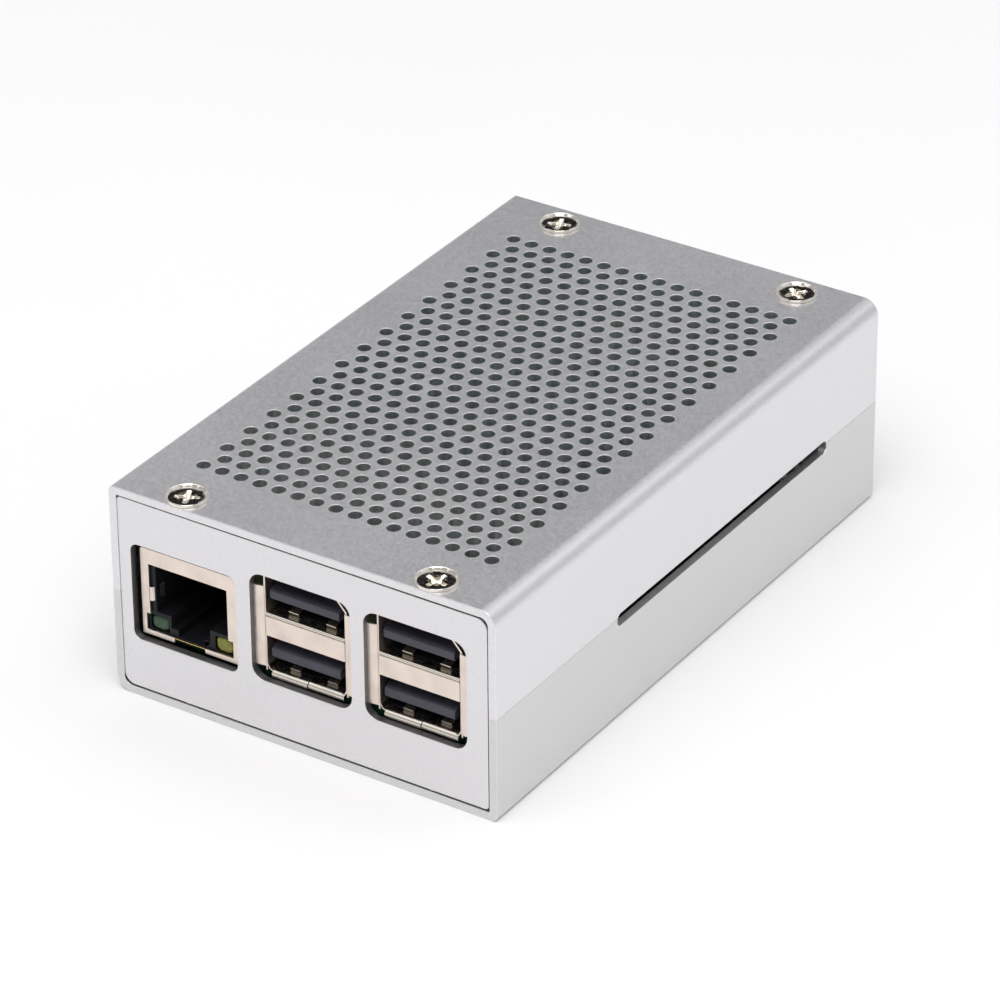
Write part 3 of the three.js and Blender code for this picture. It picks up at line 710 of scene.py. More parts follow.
def make_shells():
    display, power = side_window("hdmi_shell"), side_window("power_shell")
    low, high, _ = box_mm("audio_jack")
    audio = rounded_rect(low.y + 0.1, high.y - 0.1, low.z - 0.4, PARTING + 1, [3, 3, 0.1, 0.1], 10)
    slot = rounded_rect(*SLOT_Y, SLOT_Z - SLOT_RADIUS, SLOT_Z + SLOT_RADIUS, SLOT_RADIUS * 0.999, 10)

    lower = Channel(PARTING - 0.01)
    holes = bores(four("base_screw"), 2.55, 40) + bores(four("spacer"), 2.25, 40)
    holes.append([(lower.u_on_leg(-1, p.y), p.x) for p in power])
    flat = sheet(lower.outline([display, audio], [slot]), 0, WALL, 0.07, holes, creases=lower.creases)
    # the lower shell takes the darker copy of the anodised finish, which is painted shade
    shell = Piece("bottom_shell").add(SHADED_SHELL_METAL, flat.mapped(lower.fold), cut=CUT_METAL_SHADE_AND_BOARD_TINT)
    shell.done("anodised_case", creased=FLAT_CREASE)

    upper = Channel(HEIGHT - PARTING - 0.01)
    places = [centre_of(n) for n in four("cover_screw")]
    holes = vent_holes() + [circle(-c.x, c.y, SCREW_HOLE, 40) for c in places]
    outline = upper.outline([mirrored_window(slot)], [mirrored_window(display)])
    flat = sheet(outline, 0, WALL, 0.09, holes, creases=upper.creases)
    # the hole walls take the cut finish, painted darker and green-grey as shade and the board's reflection
    cover = Piece("top_cover").add(ANODISED, flat.mapped(upper.fold).mapped(turned_over), cut=CUT_METAL_SHADE_AND_BOARD_TINT)
    cover.done("anodised_case", "cover", FLAT_CREASE)


# ---- end brackets

SOCKET_GAPS = {  # the front plate's openings: left, right, below, above each shield, corner radius
    "ethernet_shield": (0.75, 0.65, 0.55, 0.8, 1.2),
    "usb_shield_1": (0.3, 0.9, 0.25, 0.5, 2.0),
    "usb_shield_2": (0.2, 0.98, 0.25, 0.5, 2.0),
}
PLATE_WIDER = 0.19  # how far the plates reach further left than their solids
FRONT_SAG = 0.13  # how far the front plate's upper right corner lies low


def make_bracket(name, screws, holes):
    """A C-shaped bracket: face plate with rounded corners and two flanges with tapped holes."""
    low, high, _ = box_mm(name)
    front = name == "front_plate"
    inwards = 1 if front else -1
    y_face, tip = (low.y, high.y) if front else (high.y, low.y)
    y_back = y_face + inwards * WALL
    outline = rounded_rect(low.x - PLATE_WIDER, high.x, low.z, high.z, [1.6, 0.6, 1.6, 0.6], 8)
    for p in outline:
        if front and p.y > HEIGHT / 2:
            p.y -= FRONT_SAG * (p.x - low.x) / (high.x - low.x)
    web = sheet(outline, *sorted((-y_face, -y_back)), 0.07, holes, LAY_Y)
    # the openings' walls take the dark cut-edge finish, which is painted shade
    piece = Piece(name).add(PLATE, web, cut=SHADED_CUT_EDGE)
    y0, y1 = sorted((y_back - inwards * 0.5, tip))
    strip = rounded_rect(-27, 27, y0, y1, [0.2, 0.2, 2, 2] if front else [2, 2, 0.2, 0.2])
    for z in (low.z, high.z - WALL):
        piece.add(PLATE, sheet(strip, z, z + WALL, 0.12, bores(screws, 1.5, 24)))
        for ring, hole in zip(bores(screws, 1.58, 24), bores(screws, 1.47, 24)):
            for level in (z + 0.15, z + 0.65):
                piece.add(PLATE, sheet(ring, level, level + 0.2, 0.05, [hole]))
    piece.done("end_plate", creased=16)


def make_brackets():
    openings = []
    for node, (left, right, below, above, radius) in SOCKET_GAPS.items():
        low, high, _ = box_mm(node)
        openings.append(rounded_rect(low.x - left, high.x + right, low.z - below, high.z + above, radius, 8))
    make_bracket("front_plate", four("cover_screw")[:2], openings)
    card = centre_of("memory_card")
    finger_slot = rounded_rect(card.x - 8.5, card.x + 8.5, 4.4, 10.6, 2.4, 8)
    make_bracket("back_plate", four("cover_screw")[2:], [finger_slot])


# ---- fasteners

def cross(reach, width, turn):
    """The outline of a cross recess with slightly rounded outer corners and inner fillets."""
    half = width / 2
    quarter = [(half * 1.35, half), (reach - 0.15, half * 0.86), (reach, half * 0.5)]
    quarter = [(x, -y) for x, y in quarter] + quarter[::-1]
    turns = [Matrix.Rotation(turn + math.pi / 2 * k, 2) for k in range(4)]
    return [rotation @ Vector(p) for rotation in turns for p in quarter]


def recessed_head(rows, disc_radius, disc, reach, width, depth, turn, sides=96):
    """A screw head turned from rows of (radius, level), its flat disc sunk with a tapering cross.

    The rows run from the disc's edge, over the head's rim, and down to the tip.
    """
    outer = circle(0, 0, disc_radius, sides)
    mouth = cross(reach, width, math.radians(turn))
    points = [(p.x, p.y, disc) for p in outer + mouth]
    n, m = sides, len(mouth)
    faces = [tuple(i if i < n else 2 * n + m - 1 - i for i in t) for t in cap_faces([outer, mouth[::-1]], ())]
    narrow = [p * (0.5 if p.length > reach * 0.6 else 0.85) for p in mouth]
    points += [(p.x, p.y, disc - depth * (0.62 if p.length > reach * 0.3 else 0.9)) for p in narrow]
    faces += [(n + (i + 1) % m, n + i, n + m + i, n + m + (i + 1) % m) for i in range(m)]
    points.append((0, 0, disc - depth))
    faces += [(n + m + (i + 1) % m, n + m + i, n + 2 * m) for i in range(m)]
    start = 0
    for radius, level in rows:
        new = len(points)
        if radius < 1e-6:
            points.append((0, 0, level))
            faces += [(start + (i + 1) % n, start + i, new) for i in range(n)]
            break
        points += [(p.x * radius / disc_radius, p.y * radius / disc_radius, level) for p in outer]
        faces += [(start + i, new + i, new + (i + 1) % n, start + (i + 1) % n) for i in range(n)]
        start = new
    return Shape(points, faces)


def threaded(radius, z0, z1, pitch=0.5):
    """Rows of a screw's thread as closed ridges, listed downwards from z1 to z0."""
    rows = []
    z = z1
    while z > z0 + pitch:
        root = radius * 0.84
        rows += [(radius, z - pitch * 0.15), (root, z - pitch * 0.5), (root, z - pitch * 0.6)]
        z -= pitch
    return rows + [(radius * 0.7, z0 + 0.05), (radius * 0.5, z0), (0, z0)]


def raised_rim(inner, outer, base, top):
    """Rows up a rim's sloping inner wall, over its narrow crown and down its upright outer wall."""
    return [
        (inner + 0.02, base + 0.01), (inner + 0.07, base + 0.08), (outer - 0.16, top - 0.07),
        (outer - 0.11, top - 0.015), (outer - 0.055, top), (outer - 0.02, top - 0.03), (outer, top - 0.09),
    ]


def dome(inner, outer, base, top, steps=8):
    """Rows over a pan head's shoulder, from its flat crown to its base."""
    angles = [math.pi / 2 * i / steps for i in range(steps + 1)]
    return [(inner + (outer - inner) * math.sin(a), base + (top - base) * math.cos(a)) for a in angles]


def make_screws():
    seat = HEIGHT + 0.02
    disc = seat + 0.05
    boss = [(2.93, seat + 0.03), (2.9, seat), (2.1, seat), (2.1, seat - 0.9), (1.45, seat - 0.95)]
    for node, turn in zip(four("cover_screw"), (24, 78, 18, 58)):
        rim = raised_rim(2.56, 2.93, disc, box_mm(node)[1].z - 0.12)
        rows = rim + boss + threaded(1.45, seat - 5, seat - 1)
        head = recessed_head(rows, 2.54, disc, 1.75, 0.82, 0.95, turn).moved(*centre_of(node).xy)
        Piece(node).add(NICKEL, head).done("bright_screw", "cover", HEAD_CREASE)
    seat = BOARD_TOP + 0.02
    for i, node in enumerate(four("board_screw")):
        top = box_mm(node)[1].z
        rows = dome(1.75, 2.4, seat + 0.4, top) + [(2.4, seat + 0.03), (2.35, seat), (1.15, seat)]
        rows += threaded(1.15, seat - 5, seat - 0.2, 0.45)
        head = recessed_head(rows, 1.72, top, 1.3, 0.66, 0.85, 37 * i + 11).moved(*centre_of(node).xy)
        Piece(node).add(SMALL_SCREW, head).done("board_screw", creased=HEAD_CREASE)
    cone = [(2.42, -0.02), (2.5, -0.08), (2.47, -0.16), (1.45, -1.2)]
    for i, node in enumerate(four("base_screw")):
        head = recessed_head(cone + threaded(1.45, -4.9, -1.4), 2.36, 0, 1.55, 0.75, 0.9, 29 * i + 15)
        upside_down = head.mapped(lambda x, y, z: (x, -y, -z))
        upside_down = upside_down.moved(*centre_of(node).xy, box_mm(node)[0].z)
        Piece(node).add(NICKEL, upside_down).done("bright_screw", creased=HEAD_CREASE)


def make_spacers():
    stem_rows = [(0, 0.05), (1.95, 0.05), (2.1, 0.2), (2.1, WALL + 0.1), (0, WALL + 0.1)]
    for node in four("spacer"):
        _, high, c = box_mm(node)
        hexagon = circle(c.x, c.y, 5 / math.sqrt(3), 6)
        body = sheet(hexagon, WALL, high.z, 0.25, [circle(c.x, c.y, 1.3, 24)], steps=3)
        Piece(node).add(STEEL, body, turned(stem_rows, 40, c.x, c.y)).done("spacer_metal")


# ---- network socket

def make_ethernet():
    low, high, mid = box_mm("ethernet_shield")
    x, z, face, back = mid.x, low.z, low.y, high.y
    right, left = 1.0, 0.4  # radii of the upper corners

    def upper_corners(thinner):
        """The two arcs, from the right one to the left one."""
        arcs = arc(high.x - right, high.z - right, right - thinner, 0, 90, 6)
        return arcs + arc(low.x + left, high.z - left, left - thinner, 90, 180, 4)

    mouth = placed(x, z, [
        (-2.6, 0), (-2.6, 0.75), (-7.1, 0.75), (-7.1, 3.3), (-6.5, 3.3), (-6.5, 11.1),
        (6.3, 11.1), (6.3, 3.3), (7.1, 3.3), (7.1, 0.75), (2.4, 0.75), (2.4, 0),
    ])
    rounded = [(high.x, z)] + upper_corners(0) + [(low.x, z)] + mouth
    wall = [(high.x - 0.16, z)] + upper_corners(0.16) + [(low.x + 0.16, z)]
    shell = Piece("ethernet_shield").add(SHIELD, sheet(rounded, -face - 0.35, -face, 0.09, lay=LAY_Y))
    shell.add(SHIELD, strip(wall, 0.32, -back, -face - 0.2, 0.08, LAY_Y))
    # the side springs that ground the plug, and the solder tags that hold the shield to the board
    for side, tag_x in ((-1, low.x + 0.1), (1, high.x - 0.4)):
        bow = [(-side * d, y) for d, y in ((0, 1.6), (0.75, 4.2), (0.85, 7.0), (0.1, 9.4))]
        bow = placed(x + side * 6.9, face, bow)
        shell.add(SPRING, strip(bow, 0.2, z + 5.2, z + 8.4, 0.05, LAY_Z))
        shell.add(SHIELD, block((tag_x, face + 9, z - 2.4), (tag_x + 0.3, face + 10.6, z + 0.4), 0.08))
    tab = placed(x, face, [(-6.55, 0.2), (-6.2, 0.32), (-5.85, 0.8), (-5.8, 2.4)])
    shell.add(SHIELD, strip(tab, 0.16, z + 5.3, z + 7.45, 0.06, LAY_Z))
    shell.add(GOLD, block((x - 2.7, face + 0.05, z + 0.58), (x + 2.5, face + 0.3, z + 0.72), 0.05))
    shell.done("socket_shield")

    low, high, _ = box_mm("ethernet_insert")
    face, plug_back = low.y, low.y + 13
    stepped = placed(x, z, [
        (-2.3, 0.7), (1.95, 0.7), (1.95, 1.75), (2.95, 1.75), (2.95, 3.6), (5.9, 3.6), (5.9, 11), (-5.75, 11),
        (-5.75, 3.6), (-3.4, 3.6), (-3.4, 1.75), (-2.3, 1.75),
    ])
    rim = rounded_rect(low.x, high.x, low.z, high.z, 0.4)
    pockets = [rounded_rect(x + at - 1.5, x + at + 1.5, z + 0.75, z + 3.0, 0.3) for at in (-5.3, 5.3)]
    body = Piece("ethernet_insert").add(
        BLACK,
        sheet(rim, -face - 3.2, -face, 0.12, [stepped] + pockets, LAY_Y),
        sheet(rim, -plug_back, -face - 3.2, 0.02, [stepped], LAY_Y),
        sheet(rim, -high.y, -plug_back, 0.1, lay=LAY_Y),
    )
    body.done("socket_black")

    contacts = Piece("ethernet_contacts")
    for i in range(8):
        run = ((13, 10.2), (3.2, 10.7), (2.6, 10.4), (6.0, 9.2), (12, 7.4))
        contacts.add(GOLD, wire([(x + (i - 3.5) * 1.02, face + b, z + c) for b, c in run], 0.16))
    contacts.done("socket_black")

    for side, finish, slot in (("left", GREEN_LIGHT, "light_green"), ("right", YELLOW_LIGHT, "light_yellow")):
        low, high, _ = box_mm(f"ethernet_light_{side}")
        radii = [1.0, 1.0, 0.6, 0.6]
        outline = rounded_rect(low.x - 0.08, high.x + 0.08, low.z - 0.2, high.z + 0.1, radii, 6)
        lens = sheet(outline, -high.y, -low.y, 0.5, lay=LAY_Y, steps=6)
        Piece(f"ethernet_light_{side}").add(finish, lens).done(slot)


# ---- USB sockets

USB_SOCKETS = ((0.95, 6.3), (9.8, 15.35))  # floor and roof of each socket above the board
USB_OFF_CENTRE = 0.35  # the metal shell's aperture sits this far right of the plastic body
USB_MOUTH = 6.35  # half width of the aperture
USB_SHEET = 0.3


def usb_hood(x, z, top, face, back):
    """Roof and side walls bent from one strip, its upper right corner cut off at a slant."""
    wall = USB_MOUTH + USB_SHEET / 2
    roof = top - USB_SHEET / 2
    path = [(x - wall, z + 0.8), (x - wall, roof)]
    path += [(x + wall - 1.4, roof), (x + wall, roof - 1.6), (x + wall, z + 0.8)]
    return strip(path, USB_SHEET, -back, -face - 0.1, 0.08, LAY_Y)


def usb_ear(root, tip, face, z0, z1):
    """A strip that stands out sideways at the face, its outer edge rolled back."""
    side = 1 if tip > root else -1
    curl = [(root - tip, 0.14), (-side * 0.2, -0.06), (-side * 0.05, 0.01), (0, 0.2)]
    return strip(placed(tip, face, curl), 0.3, z0, z1, 0.12, LAY_Z, steps=3)


def usb_middle(x, face, low, high):
    """The band between the sockets with a shelf behind it, and its rolled upper lip."""
    ends = (x - USB_MOUTH - 0.1, x + USB_MOUTH - 0.1)
    band = rounded_rect(*ends, low, high - 0.52, 0.14)
    lip = arc(face + 0.3, high - 0.24, 0.2, 265, 70, 10) + [(face + 9, high - 0.04)]
    shelf = [(face + 0.2, low + 0.12), (face + 9, low + 0.14)]
    flat = sheet(band, -face - 0.32, -face - 0.02, 0.09, lay=LAY_Y)
    return flat, strip(shelf, 0.22, *ends, 0.06), strip(lip, 0.16, *ends, 0.05)


def usb_floor_rolls(x, face, floor):
    """The floor's front edge, rolled down in two segments, and its small upturned corners."""
    shapes = []
    for x0, x1, level in ((x - 5.65, x + 0.06, floor), (x + 0.2, x + 5.95, floor + 0.09)):
        roll = [(face + 9, level), (face + 0.6, level)] + arc(face + 0.55, level - 0.52, 0.52, 90, 250, 12)
        shapes.append(strip(roll, 0.24, x0, x1, 0.08))
    for side in (-1, 1):
        corner = placed(x, floor, [(side * 5.5, 0), (side * 6.0, 0.15), (side * 6.3, 0.75)])
        shapes.append(strip(corner, 0.2, -face - 2.2, -face - 0.1, 0.06, LAY_Y))
    return shapes


def usb_spring(x, face, level):
    """A leaf cut from the socket's floor that bows up to grip the plug and narrows backwards."""
    leaf = placed(face, level, [(1.5, 0.15), (1.35, 0.4), (1.9, 0.62), (3.0, 0.85), (4.5, 0.8), (6.5, 0.3)])
    bowed = strip(leaf, 0.18, -0.85, 0.85, 0.06)
    return bowed.mapped(lambda a, b, c: (x + a * (1 - 0.09 * (b - face - 1)), b, c))


def usb_tongue(x, face, roof):
    """A tongue with a deep bevel on its upper front edge and a small one below."""
    nose = [(9.7, -3.45), (9.7, -1.65), (1.05, -1.65), (0.42, -2.15), (0.4, -3.15), (0.65, -3.45)]
    return sheet(placed(face, roof, nose), x - 5.5, x + 5.55, 0.12, lay=LAY_X)


def make_usb(number):
    low, high, _ = box_mm(f"usb_shield_{number}")
    insert_low, insert_high, middle = box_mm(f"usb_insert_{number}")
    x, mouth = middle.x, middle.x + USB_OFF_CENTRE
    z, top, face, back = low.z, high.z, low.y, high.y
    shell = Piece(f"usb_shield_{number}").add(
        SHIELD,
        usb_hood(mouth, z, top, face, back),
        usb_ear(x - 6.2, x - 7.78, face, z + 1.42, z + 13.87),
        usb_ear(x + 6.75, x + 7.68, face, z + 1.35, z + 13.8),
    )
    band, shelf, lip = usb_middle(mouth, face, z + USB_SOCKETS[0][1], z + USB_SOCKETS[1][0])
    shell.add(SHIELD, band, shelf).add(SPRING, lip, *usb_floor_rolls(mouth, face, z + USB_SOCKETS[0][0]))
    brow = placed(face, top, [(2.5, -0.32), (0.5, -0.3), (0.02, -0.1)])
    shell.add(SPRING, strip(brow, 0.16, mouth - 6.3, mouth + 4.85))
    # the springs and the lower socket's stops take the darker spring finish, which is painted shade
    for (floor, _), stop in zip(USB_SOCKETS, (SHADED_SPRING, SPRING)):
        low = (mouth - 6.15, face + 1.6, z + floor + 0.14)
        # a thin black plate on the socket floor: painted shade for the dark inside of the socket
        shell.add(BLACK, block(low, (mouth + 6.15, face + 9.4, z + floor + 0.2), 0.03, 1))
        for at in (mouth - 2.7, mouth + 3.3):
            shell.add(SHADED_SPRING, usb_spring(at, face, z + floor))
            low = Vector((at - 0.8, face + 1.2, z + floor + 0.42))
            shell.add(stop, block(low, low + Vector((1.6, 0.2, 0.2)), 0.08))
    for tag_x in (mouth - USB_MOUTH - 0.3, mouth + USB_MOUTH):
        for y in (face + 4, face + 13):
            shell.add(SHIELD, block((tag_x, y, z - 2.4), (tag_x + 0.3, y + 1.8, z + 1.2), 0.08))
    shell.done("socket_shield")

    insert = Piece(f"usb_insert_{number}")
    body = rounded_rect(insert_low.x, insert_high.x, z + 0.1, insert_high.z, 0.3)
    insert.add(TONGUE, sheet(body, -back + 0.1, -face - 9.5, 0.15, lay=LAY_Y))
    contacts = Piece(f"usb_contacts_{number}")
    for _, roof in USB_SOCKETS:
        insert.add(TONGUE, usb_tongue(x, face, z + roof))
        path = placed(face, z + roof - 3.45, [(9.6, -0.06), (2.9, -0.1), (2.3, 0.05)])
        for cx in (x - 3.2, x - 0.7, x + 1.3, x + 3.8):
            contacts.add(GOLD, strip(path, 0.16, cx - 0.5, cx + 0.5, 0.04))
    insert.done("usb_tongue")
    contacts.done("usb_tongue")


# ---- left-hand sockets

def d_outline(low, high, margin, foot, waist):
    """A side socket's mouth: narrower at the bottom, with sloping shoulders."""
    y0, y1, z0, z1 = low.y + margin, high.y - margin, low.z + margin, high.z - margin
    shoulder = 0.35 * foot
    return loop_of([
        (y0 + foot, z0), (y1 - foot, z0), (y1 - shoulder, z0 + waist * 0.5), (y1, z0 + waist), (y1, z1 - 0.3),
        (y1 - 0.3, z1), (y0 + 0.3, z1), (y0, z1 - 0.3), (y0, z0 + waist), (y0 + shoulder, z0 + waist * 0.5),
    ])


def make_side_socket(name, foot, waist, contact_count, pitch):
    low, high, _ = box_mm(f"{name}_shell")
    outer = d_outline(low, high, 0, foot, waist)
    inner = d_outline(low, high, 0.3, foot, waist)
    grow = Vector((0, 0.12, 0.1))
    flare = d_outline(low - grow, high + grow, 0, foot, waist)
    shell = Piece(f"{name}_shell")
    shell.add(SHIELD, sheet(outer, low.x, high.x - 0.6, 0.09, [inner], LAY_X))
    shell.add(BLACK, sheet(inset(turned_to(outer, True), 0.06), high.x - 2.2, high.x, 0.1, lay=LAY_X))
    shell.add(SHIELD, sheet(flare, low.x + 0.02, low.x + 0.3, 0.1, [inner], LAY_X))
    shell.done("socket_shield")
    low, high, mid = box_mm(f"{name}_tongue")
    outline = rounded_rect(low.y, high.y, low.z, high.z, 0.2)
    tongue = Piece(f"{name}_tongue").add(BLACK, sheet(outline, low.x, high.x, 0.12, lay=LAY_X))
    for i in range(contact_count):
        y = mid.y + (i - (contact_count - 1) / 2) * pitch
        for z in (low.z - 0.03, high.z - 0.05):
            ends = (low.x + 0.5, y - pitch * 0.25, z), (high.x, y + pitch * 0.25, z + 0.08)
            tongue.add(GOLD, block(*ends, 0.02, 1))
    tongue.done("socket_black")


def make_audio_jack():
    low, high, mid = box_mm("audio_jack")

    def ring(radius, sides=48):
        return circle(mid.y, mid.z, radius, sides)

    body = rounded_rect(low.y, high.y, low.z, high.z, 0.25)
    base, floor = -28.7, -18.5
    jack = Piece("audio_jack").add(
        BLACK,
        sheet(body, base, floor, 0.12, [ring(1.8, 32)], LAY_X),
        sheet(body, floor, high.x, 0.12, lay=LAY_X),
        sheet(ring(2.96), low.x, base + 0.2, 0.25, [ring(1.8, 32)], LAY_X, steps=3),
    )
    jack.add(SPRING, sheet(ring(2.3), low.x + 0.06, low.x + 0.9, 0.08, [ring(1.72, 32)], LAY_X))
    for x in (base + 2.2, base + 5.8, base + 9.4):
        for y0, y1 in ((low.y - 0.35, low.y + 0.2), (high.y - 0.2, high.y + 0.35)):
            jack.add(SOLDER, block((x, y0, low.z), (x + 0.9, y1, low.z + 0.25), 0.05))
    jack.done("socket_black")


# ---- connectors on the board

def make_ribbon(name):
    low, high, mid = box_mm(f"{name}_connector")
    x, y = mid.x, mid.y
    mouth = rounded_rect(low.x + 1.2, high.x - 1.2, y - 0.9, y + 0.9, 0.1)
    body = Piece(f"{name}_connector")
    body.add(CREAM, sheet(plan(low, high, 0.25), low.z, low.z + 1.2, 0.1))
    body.add(CREAM, sheet(plan(low, high, 0.25), low.z + 1.15, high.z, 0.12, [mouth]))
    for cx in [x + i - 7 for i in range(15)]:
        tail = (cx - 0.17, high.y - 0.2, low.z), (cx + 0.17, high.y + 0.75, low.z + 0.16)
        body.add(SOLDER, block(*tail, 0.03))
        spring = (cx - 0.14, y + 0.62, low.z + 1.3), (cx + 0.14, y + 0.86, high.z - 0.3)
        body.add(GOLD, block(*spring, 0.04, 1))
        rib = (cx - 0.36, low.y - 0.12, low.z + 0.6), (cx - 0.1, low.y + 0.1, high.z - 0.5)
        body.add(CREAM, block(*rib, 0.05, 1))
    body.done("connector_cream")
    low, high, _ = box_mm(f"{name}_latch")
    seat = high.z - 1.3
    latch = Piece(f"{name}_latch").add(LATCH, sheet(plan(low, high, 0.5), seat, high.z, 0.18, steps=3))
    latch.add(LATCH, block((low.x + 2.2, y - 0.15, low.z), (high.x - 2.2, y + 0.6, seat + 0.3), 0.15))
    for side in (-1, 1):
        for step in (-0.55, 0, 0.55):
            at = x + side * (high.x - low.x - 3) / 2 + step
            ridge = (at - 0.12, low.y + 0.4, high.z - 0.1), (at + 0.12, high.y - 0.4, high.z - 0.001)
            latch.add(LATCH, block(*ridge, 0.05))
    latch.done("latch_black", f"{name}_latch")


def make_header():
    low, high, mid = box_mm("pin_header")
    half_pitch, half_pin, cut = 1.27, 0.32, 0.55
    housing = Piece("pin_header_strip")
    pins = Piece("pin_header")
    for i in range(20):
        y = mid.y + (2 * i - 19) * half_pitch
        x0, x1, y0, y1 = low.x, high.x, y - half_pitch, y + half_pitch
        cell = [
            (x0 + cut, y0), (x1 - cut, y0), (x1, y0 + cut), (x1, y1 - cut),
            (x1 - cut, y1), (x0 + cut, y1), (x0, y1 - cut), (x0, y0 + cut),
        ]
        housing.add(BLACK, sheet(cell, BOARD_TOP + 0.02, BOARD_TOP + 2.5, 0.08))
        for x in (mid.x - half_pitch, mid.x + half_pitch):
            foot = (x - half_pin, y - half_pin, BOARD_TOP - 3.0)
            pins.add(GOLD, block(foot, (x + half_pin, y + half_pin, high.z), 0.14))
    pins.done("header_pins")
    housing.done("header_pins")


def make_card():
    low, high, mid = box_mm("card_socket")
    windows = [rounded_rect(x, x + 3, low.y + 3, low.y + 7, 0.3) for x in (mid.x - 4.2, mid.x + 1.2)]
    socket = Piece("card_socket").add(SHIELD, sheet(plan(low, high, 0.3), low.z, low.z + 0.2, 0.06, windows))
    for x0, x1 in ((low.x, low.x + 1.3), (high.x - 1.3, high.x)):
        socket.add(SHIELD, block((x0, low.y, low.z + 0.1), (x1, high.y, high.z), 0.1))
    socket.add(BLACK, block((low.x + 0.2, low.y, low.z + 0.18), (high.x - 0.2, low.y + 1.6, high.z), 0.1))
    socket.add(BLACK, block((low.x + 1.2, low.y + 1, high.z - 0.22), (high.x - 1.2, high.y, high.z), 0.05))
    socket.done("socket_shield")
    low, high, _ = box_mm("memory_card")
    outline = [(low.x + 0.8, high.y), (low.x, high.y - 0.8), (low.x, low.y + 0.8), (low.x + 0.8, low.y)]
    outline += placed(high.x, low.y, [
        (-2.2, 0), (-1.4, 0.8), (-1.4, 5.2), (-0.9, 5.8), (-0.9, 6.8), (0, 7.8), (0, high.y - low.y - 0.8),
        (-0.8, high.y - low.y),
    ])
    card = Piece("memory_card").add(CARD, sheet(outline, low.z, high.z, 0.12, steps=3))
    grip = (low.x + 0.6, high.y - 1.0, high.z - 0.3), (high.x - 0.6, high.y - 0.2, high.z - 0.001)
    card.add(CARD, block(*grip, 0.14))
    for i in range(8):
        x = low.x + 1.3 + i * 1.05
        pad = (x, low.y + 0.8, high.z - 0.06), (x + 0.75, low.y + 3.8, high.z + 0.005)
        card.add(GOLD, block(*pad, 0.02, 1))
    card.done("card_black", "card")


# ---- board and its parts

def make_board():
    screws = four("board_screw")
    outline = plan(BOARD_LOW, BOARD_HIGH, 3, steps=10)
    board = Piece("circuit_board")
    board.add(BOARD, sheet(outline, BOARD_LOW.z, BOARD_TOP, 0.07, bores(screws, 1.35, 32)))
    for ring, hole in zip(bores(screws, 3.0, 40), bores(screws, 1.36, 40)):
        for z in (BOARD_TOP - 0.01, BOARD_LOW.z - 0.03):
            board.add(SOLDER, sheet(ring, z, z + 0.04, 0.01, [hole]))
    board.done("solder_mask")


def dot(low, high, size):
    """The small round mark by a chip's first terminal."""
    below, above = high.z - 0.05, high.z + 0.004
    return turned([(0, below), (size, below), (size, above), (0, above)], 20, low.x + 1.3, high.y - 1.3)


def leads(low, high, count, pitch, reach):
    """Flat leads round a chip's four sides, at board level."""
    shapes = []
    half, z0, z1 = pitch * 0.27, BOARD_TOP, BOARD_TOP + 0.14
    for i in range(count):
        d = (i - (count - 1) / 2) * pitch
        x, y = (low.x + high.x) / 2 + d, (low.y + high.y) / 2 + d
        for y0, y1 in ((low.y - reach, low.y + 0.2), (high.y - 0.2, high.y + reach)):
            shapes.append(block((x - half, y0, z0), (x + half, y1, z1), 0.03, 1))
        for x0, x1 in ((low.x - reach, low.x + 0.2), (high.x - 0.2, high.x + reach)):
            shapes.append(block((x0, y - half, z0), (x1, y + half, z1), 0.03, 1))
    return shapes


def make_chip(node, lift, mark=None, lead_row=None, lidded=False):
    """A moulded chip body, standing off the board by its lift."""
    low, high, _ = box_mm(node)
    chip = Piece(node).add(CHIP, sheet(plan(low, high, 0.25), low.z + lift, high.z, 0.1))
    if lead_row:
        chip.add(SOLDER, *leads(low, high, *lead_row))
    if lidded:
        chip.add(BOARD, sheet(plan(low, high, 0.15), BOARD_TOP + 0.02, BOARD_TOP + 0.35, 0.04))
        chip.add(CHIP, sheet(plan(low, high, 0.5, -1.2), high.z - 0.2, high.z + 0.02, 0.1))
    if mark:
        chip.add(MARKING, dot(low, high, mark))
    chip.done("chip_package")


def make_coil():
    low, high, c = box_mm("power_coil")
    flange = plan(low, high, 0.9, steps=6)
    rings = [(0, low.z + 0.4)]
    for z in [low.z + 0.5 + i * 0.19 for i in range(5)]:
        rings += [(1.75, z), (1.85, z + 0.095), (1.75, z + 0.18)]
    coil = Piece("power_coil").add(FERRITE, sheet(flange, high.z - 0.55, high.z, 0.15))
    coil.add(FERRITE, sheet(flange, low.z, low.z + 0.5, 0.12))
    coil.add(GOLD, turned(rings + [(0, high.z - 0.5)], 32, c.x, c.y)).done("coil_ferrite")


def make_crystal():
    low, high, _ = box_mm("crystal_can")
    can = sheet(plan(low, high, 1.9, -0.3, 10), low.z + 0.3, high.z, 0.4, steps=4)
    foot = sheet(plan(low, high, 2.2, steps=10), low.z + 0.02, low.z + 0.5, 0.15)
    Piece("crystal_can").add(CAN, can, foot).done("can_metal")


def make_capacitor():
    low, high, c = box_mm("smoothing_capacitor")
    r = (high.x - low.x) / 2
    sleeve = [(-r, 0.6), (-0.1, 0.6), (0, 0.75), (0, 1.3), (-0.18, 1.5), (-0.18, 1.7), (0, 1.9)]
    sleeve = placed(r, low.z, sleeve)
    sleeve += placed(r, high.z, [(0, -0.35), (-0.1, -0.1), (-0.35, 0), (-0.5, -0.06), (-r, -0.06)])
    base = placed(c.x, c.y, [(-r, -r), (r, -r), (r, r - 1), (r - 1, r), (1 - r, r), (-r, r - 1)])
    mark = arc(c.x, c.y, r - 0.5, 200, 340, 10)
    capacitor = Piece("smoothing_capacitor").add(CAN, turned(sleeve, 48, c.x, c.y))
    capacitor.add(BLACK, sheet(base, low.z + 0.02, low.z + 0.7, 0.08))
    capacitor.add(BLACK, sheet(mark, high.z - 0.1, high.z - 0.04, 0.01)).done("can_metal")


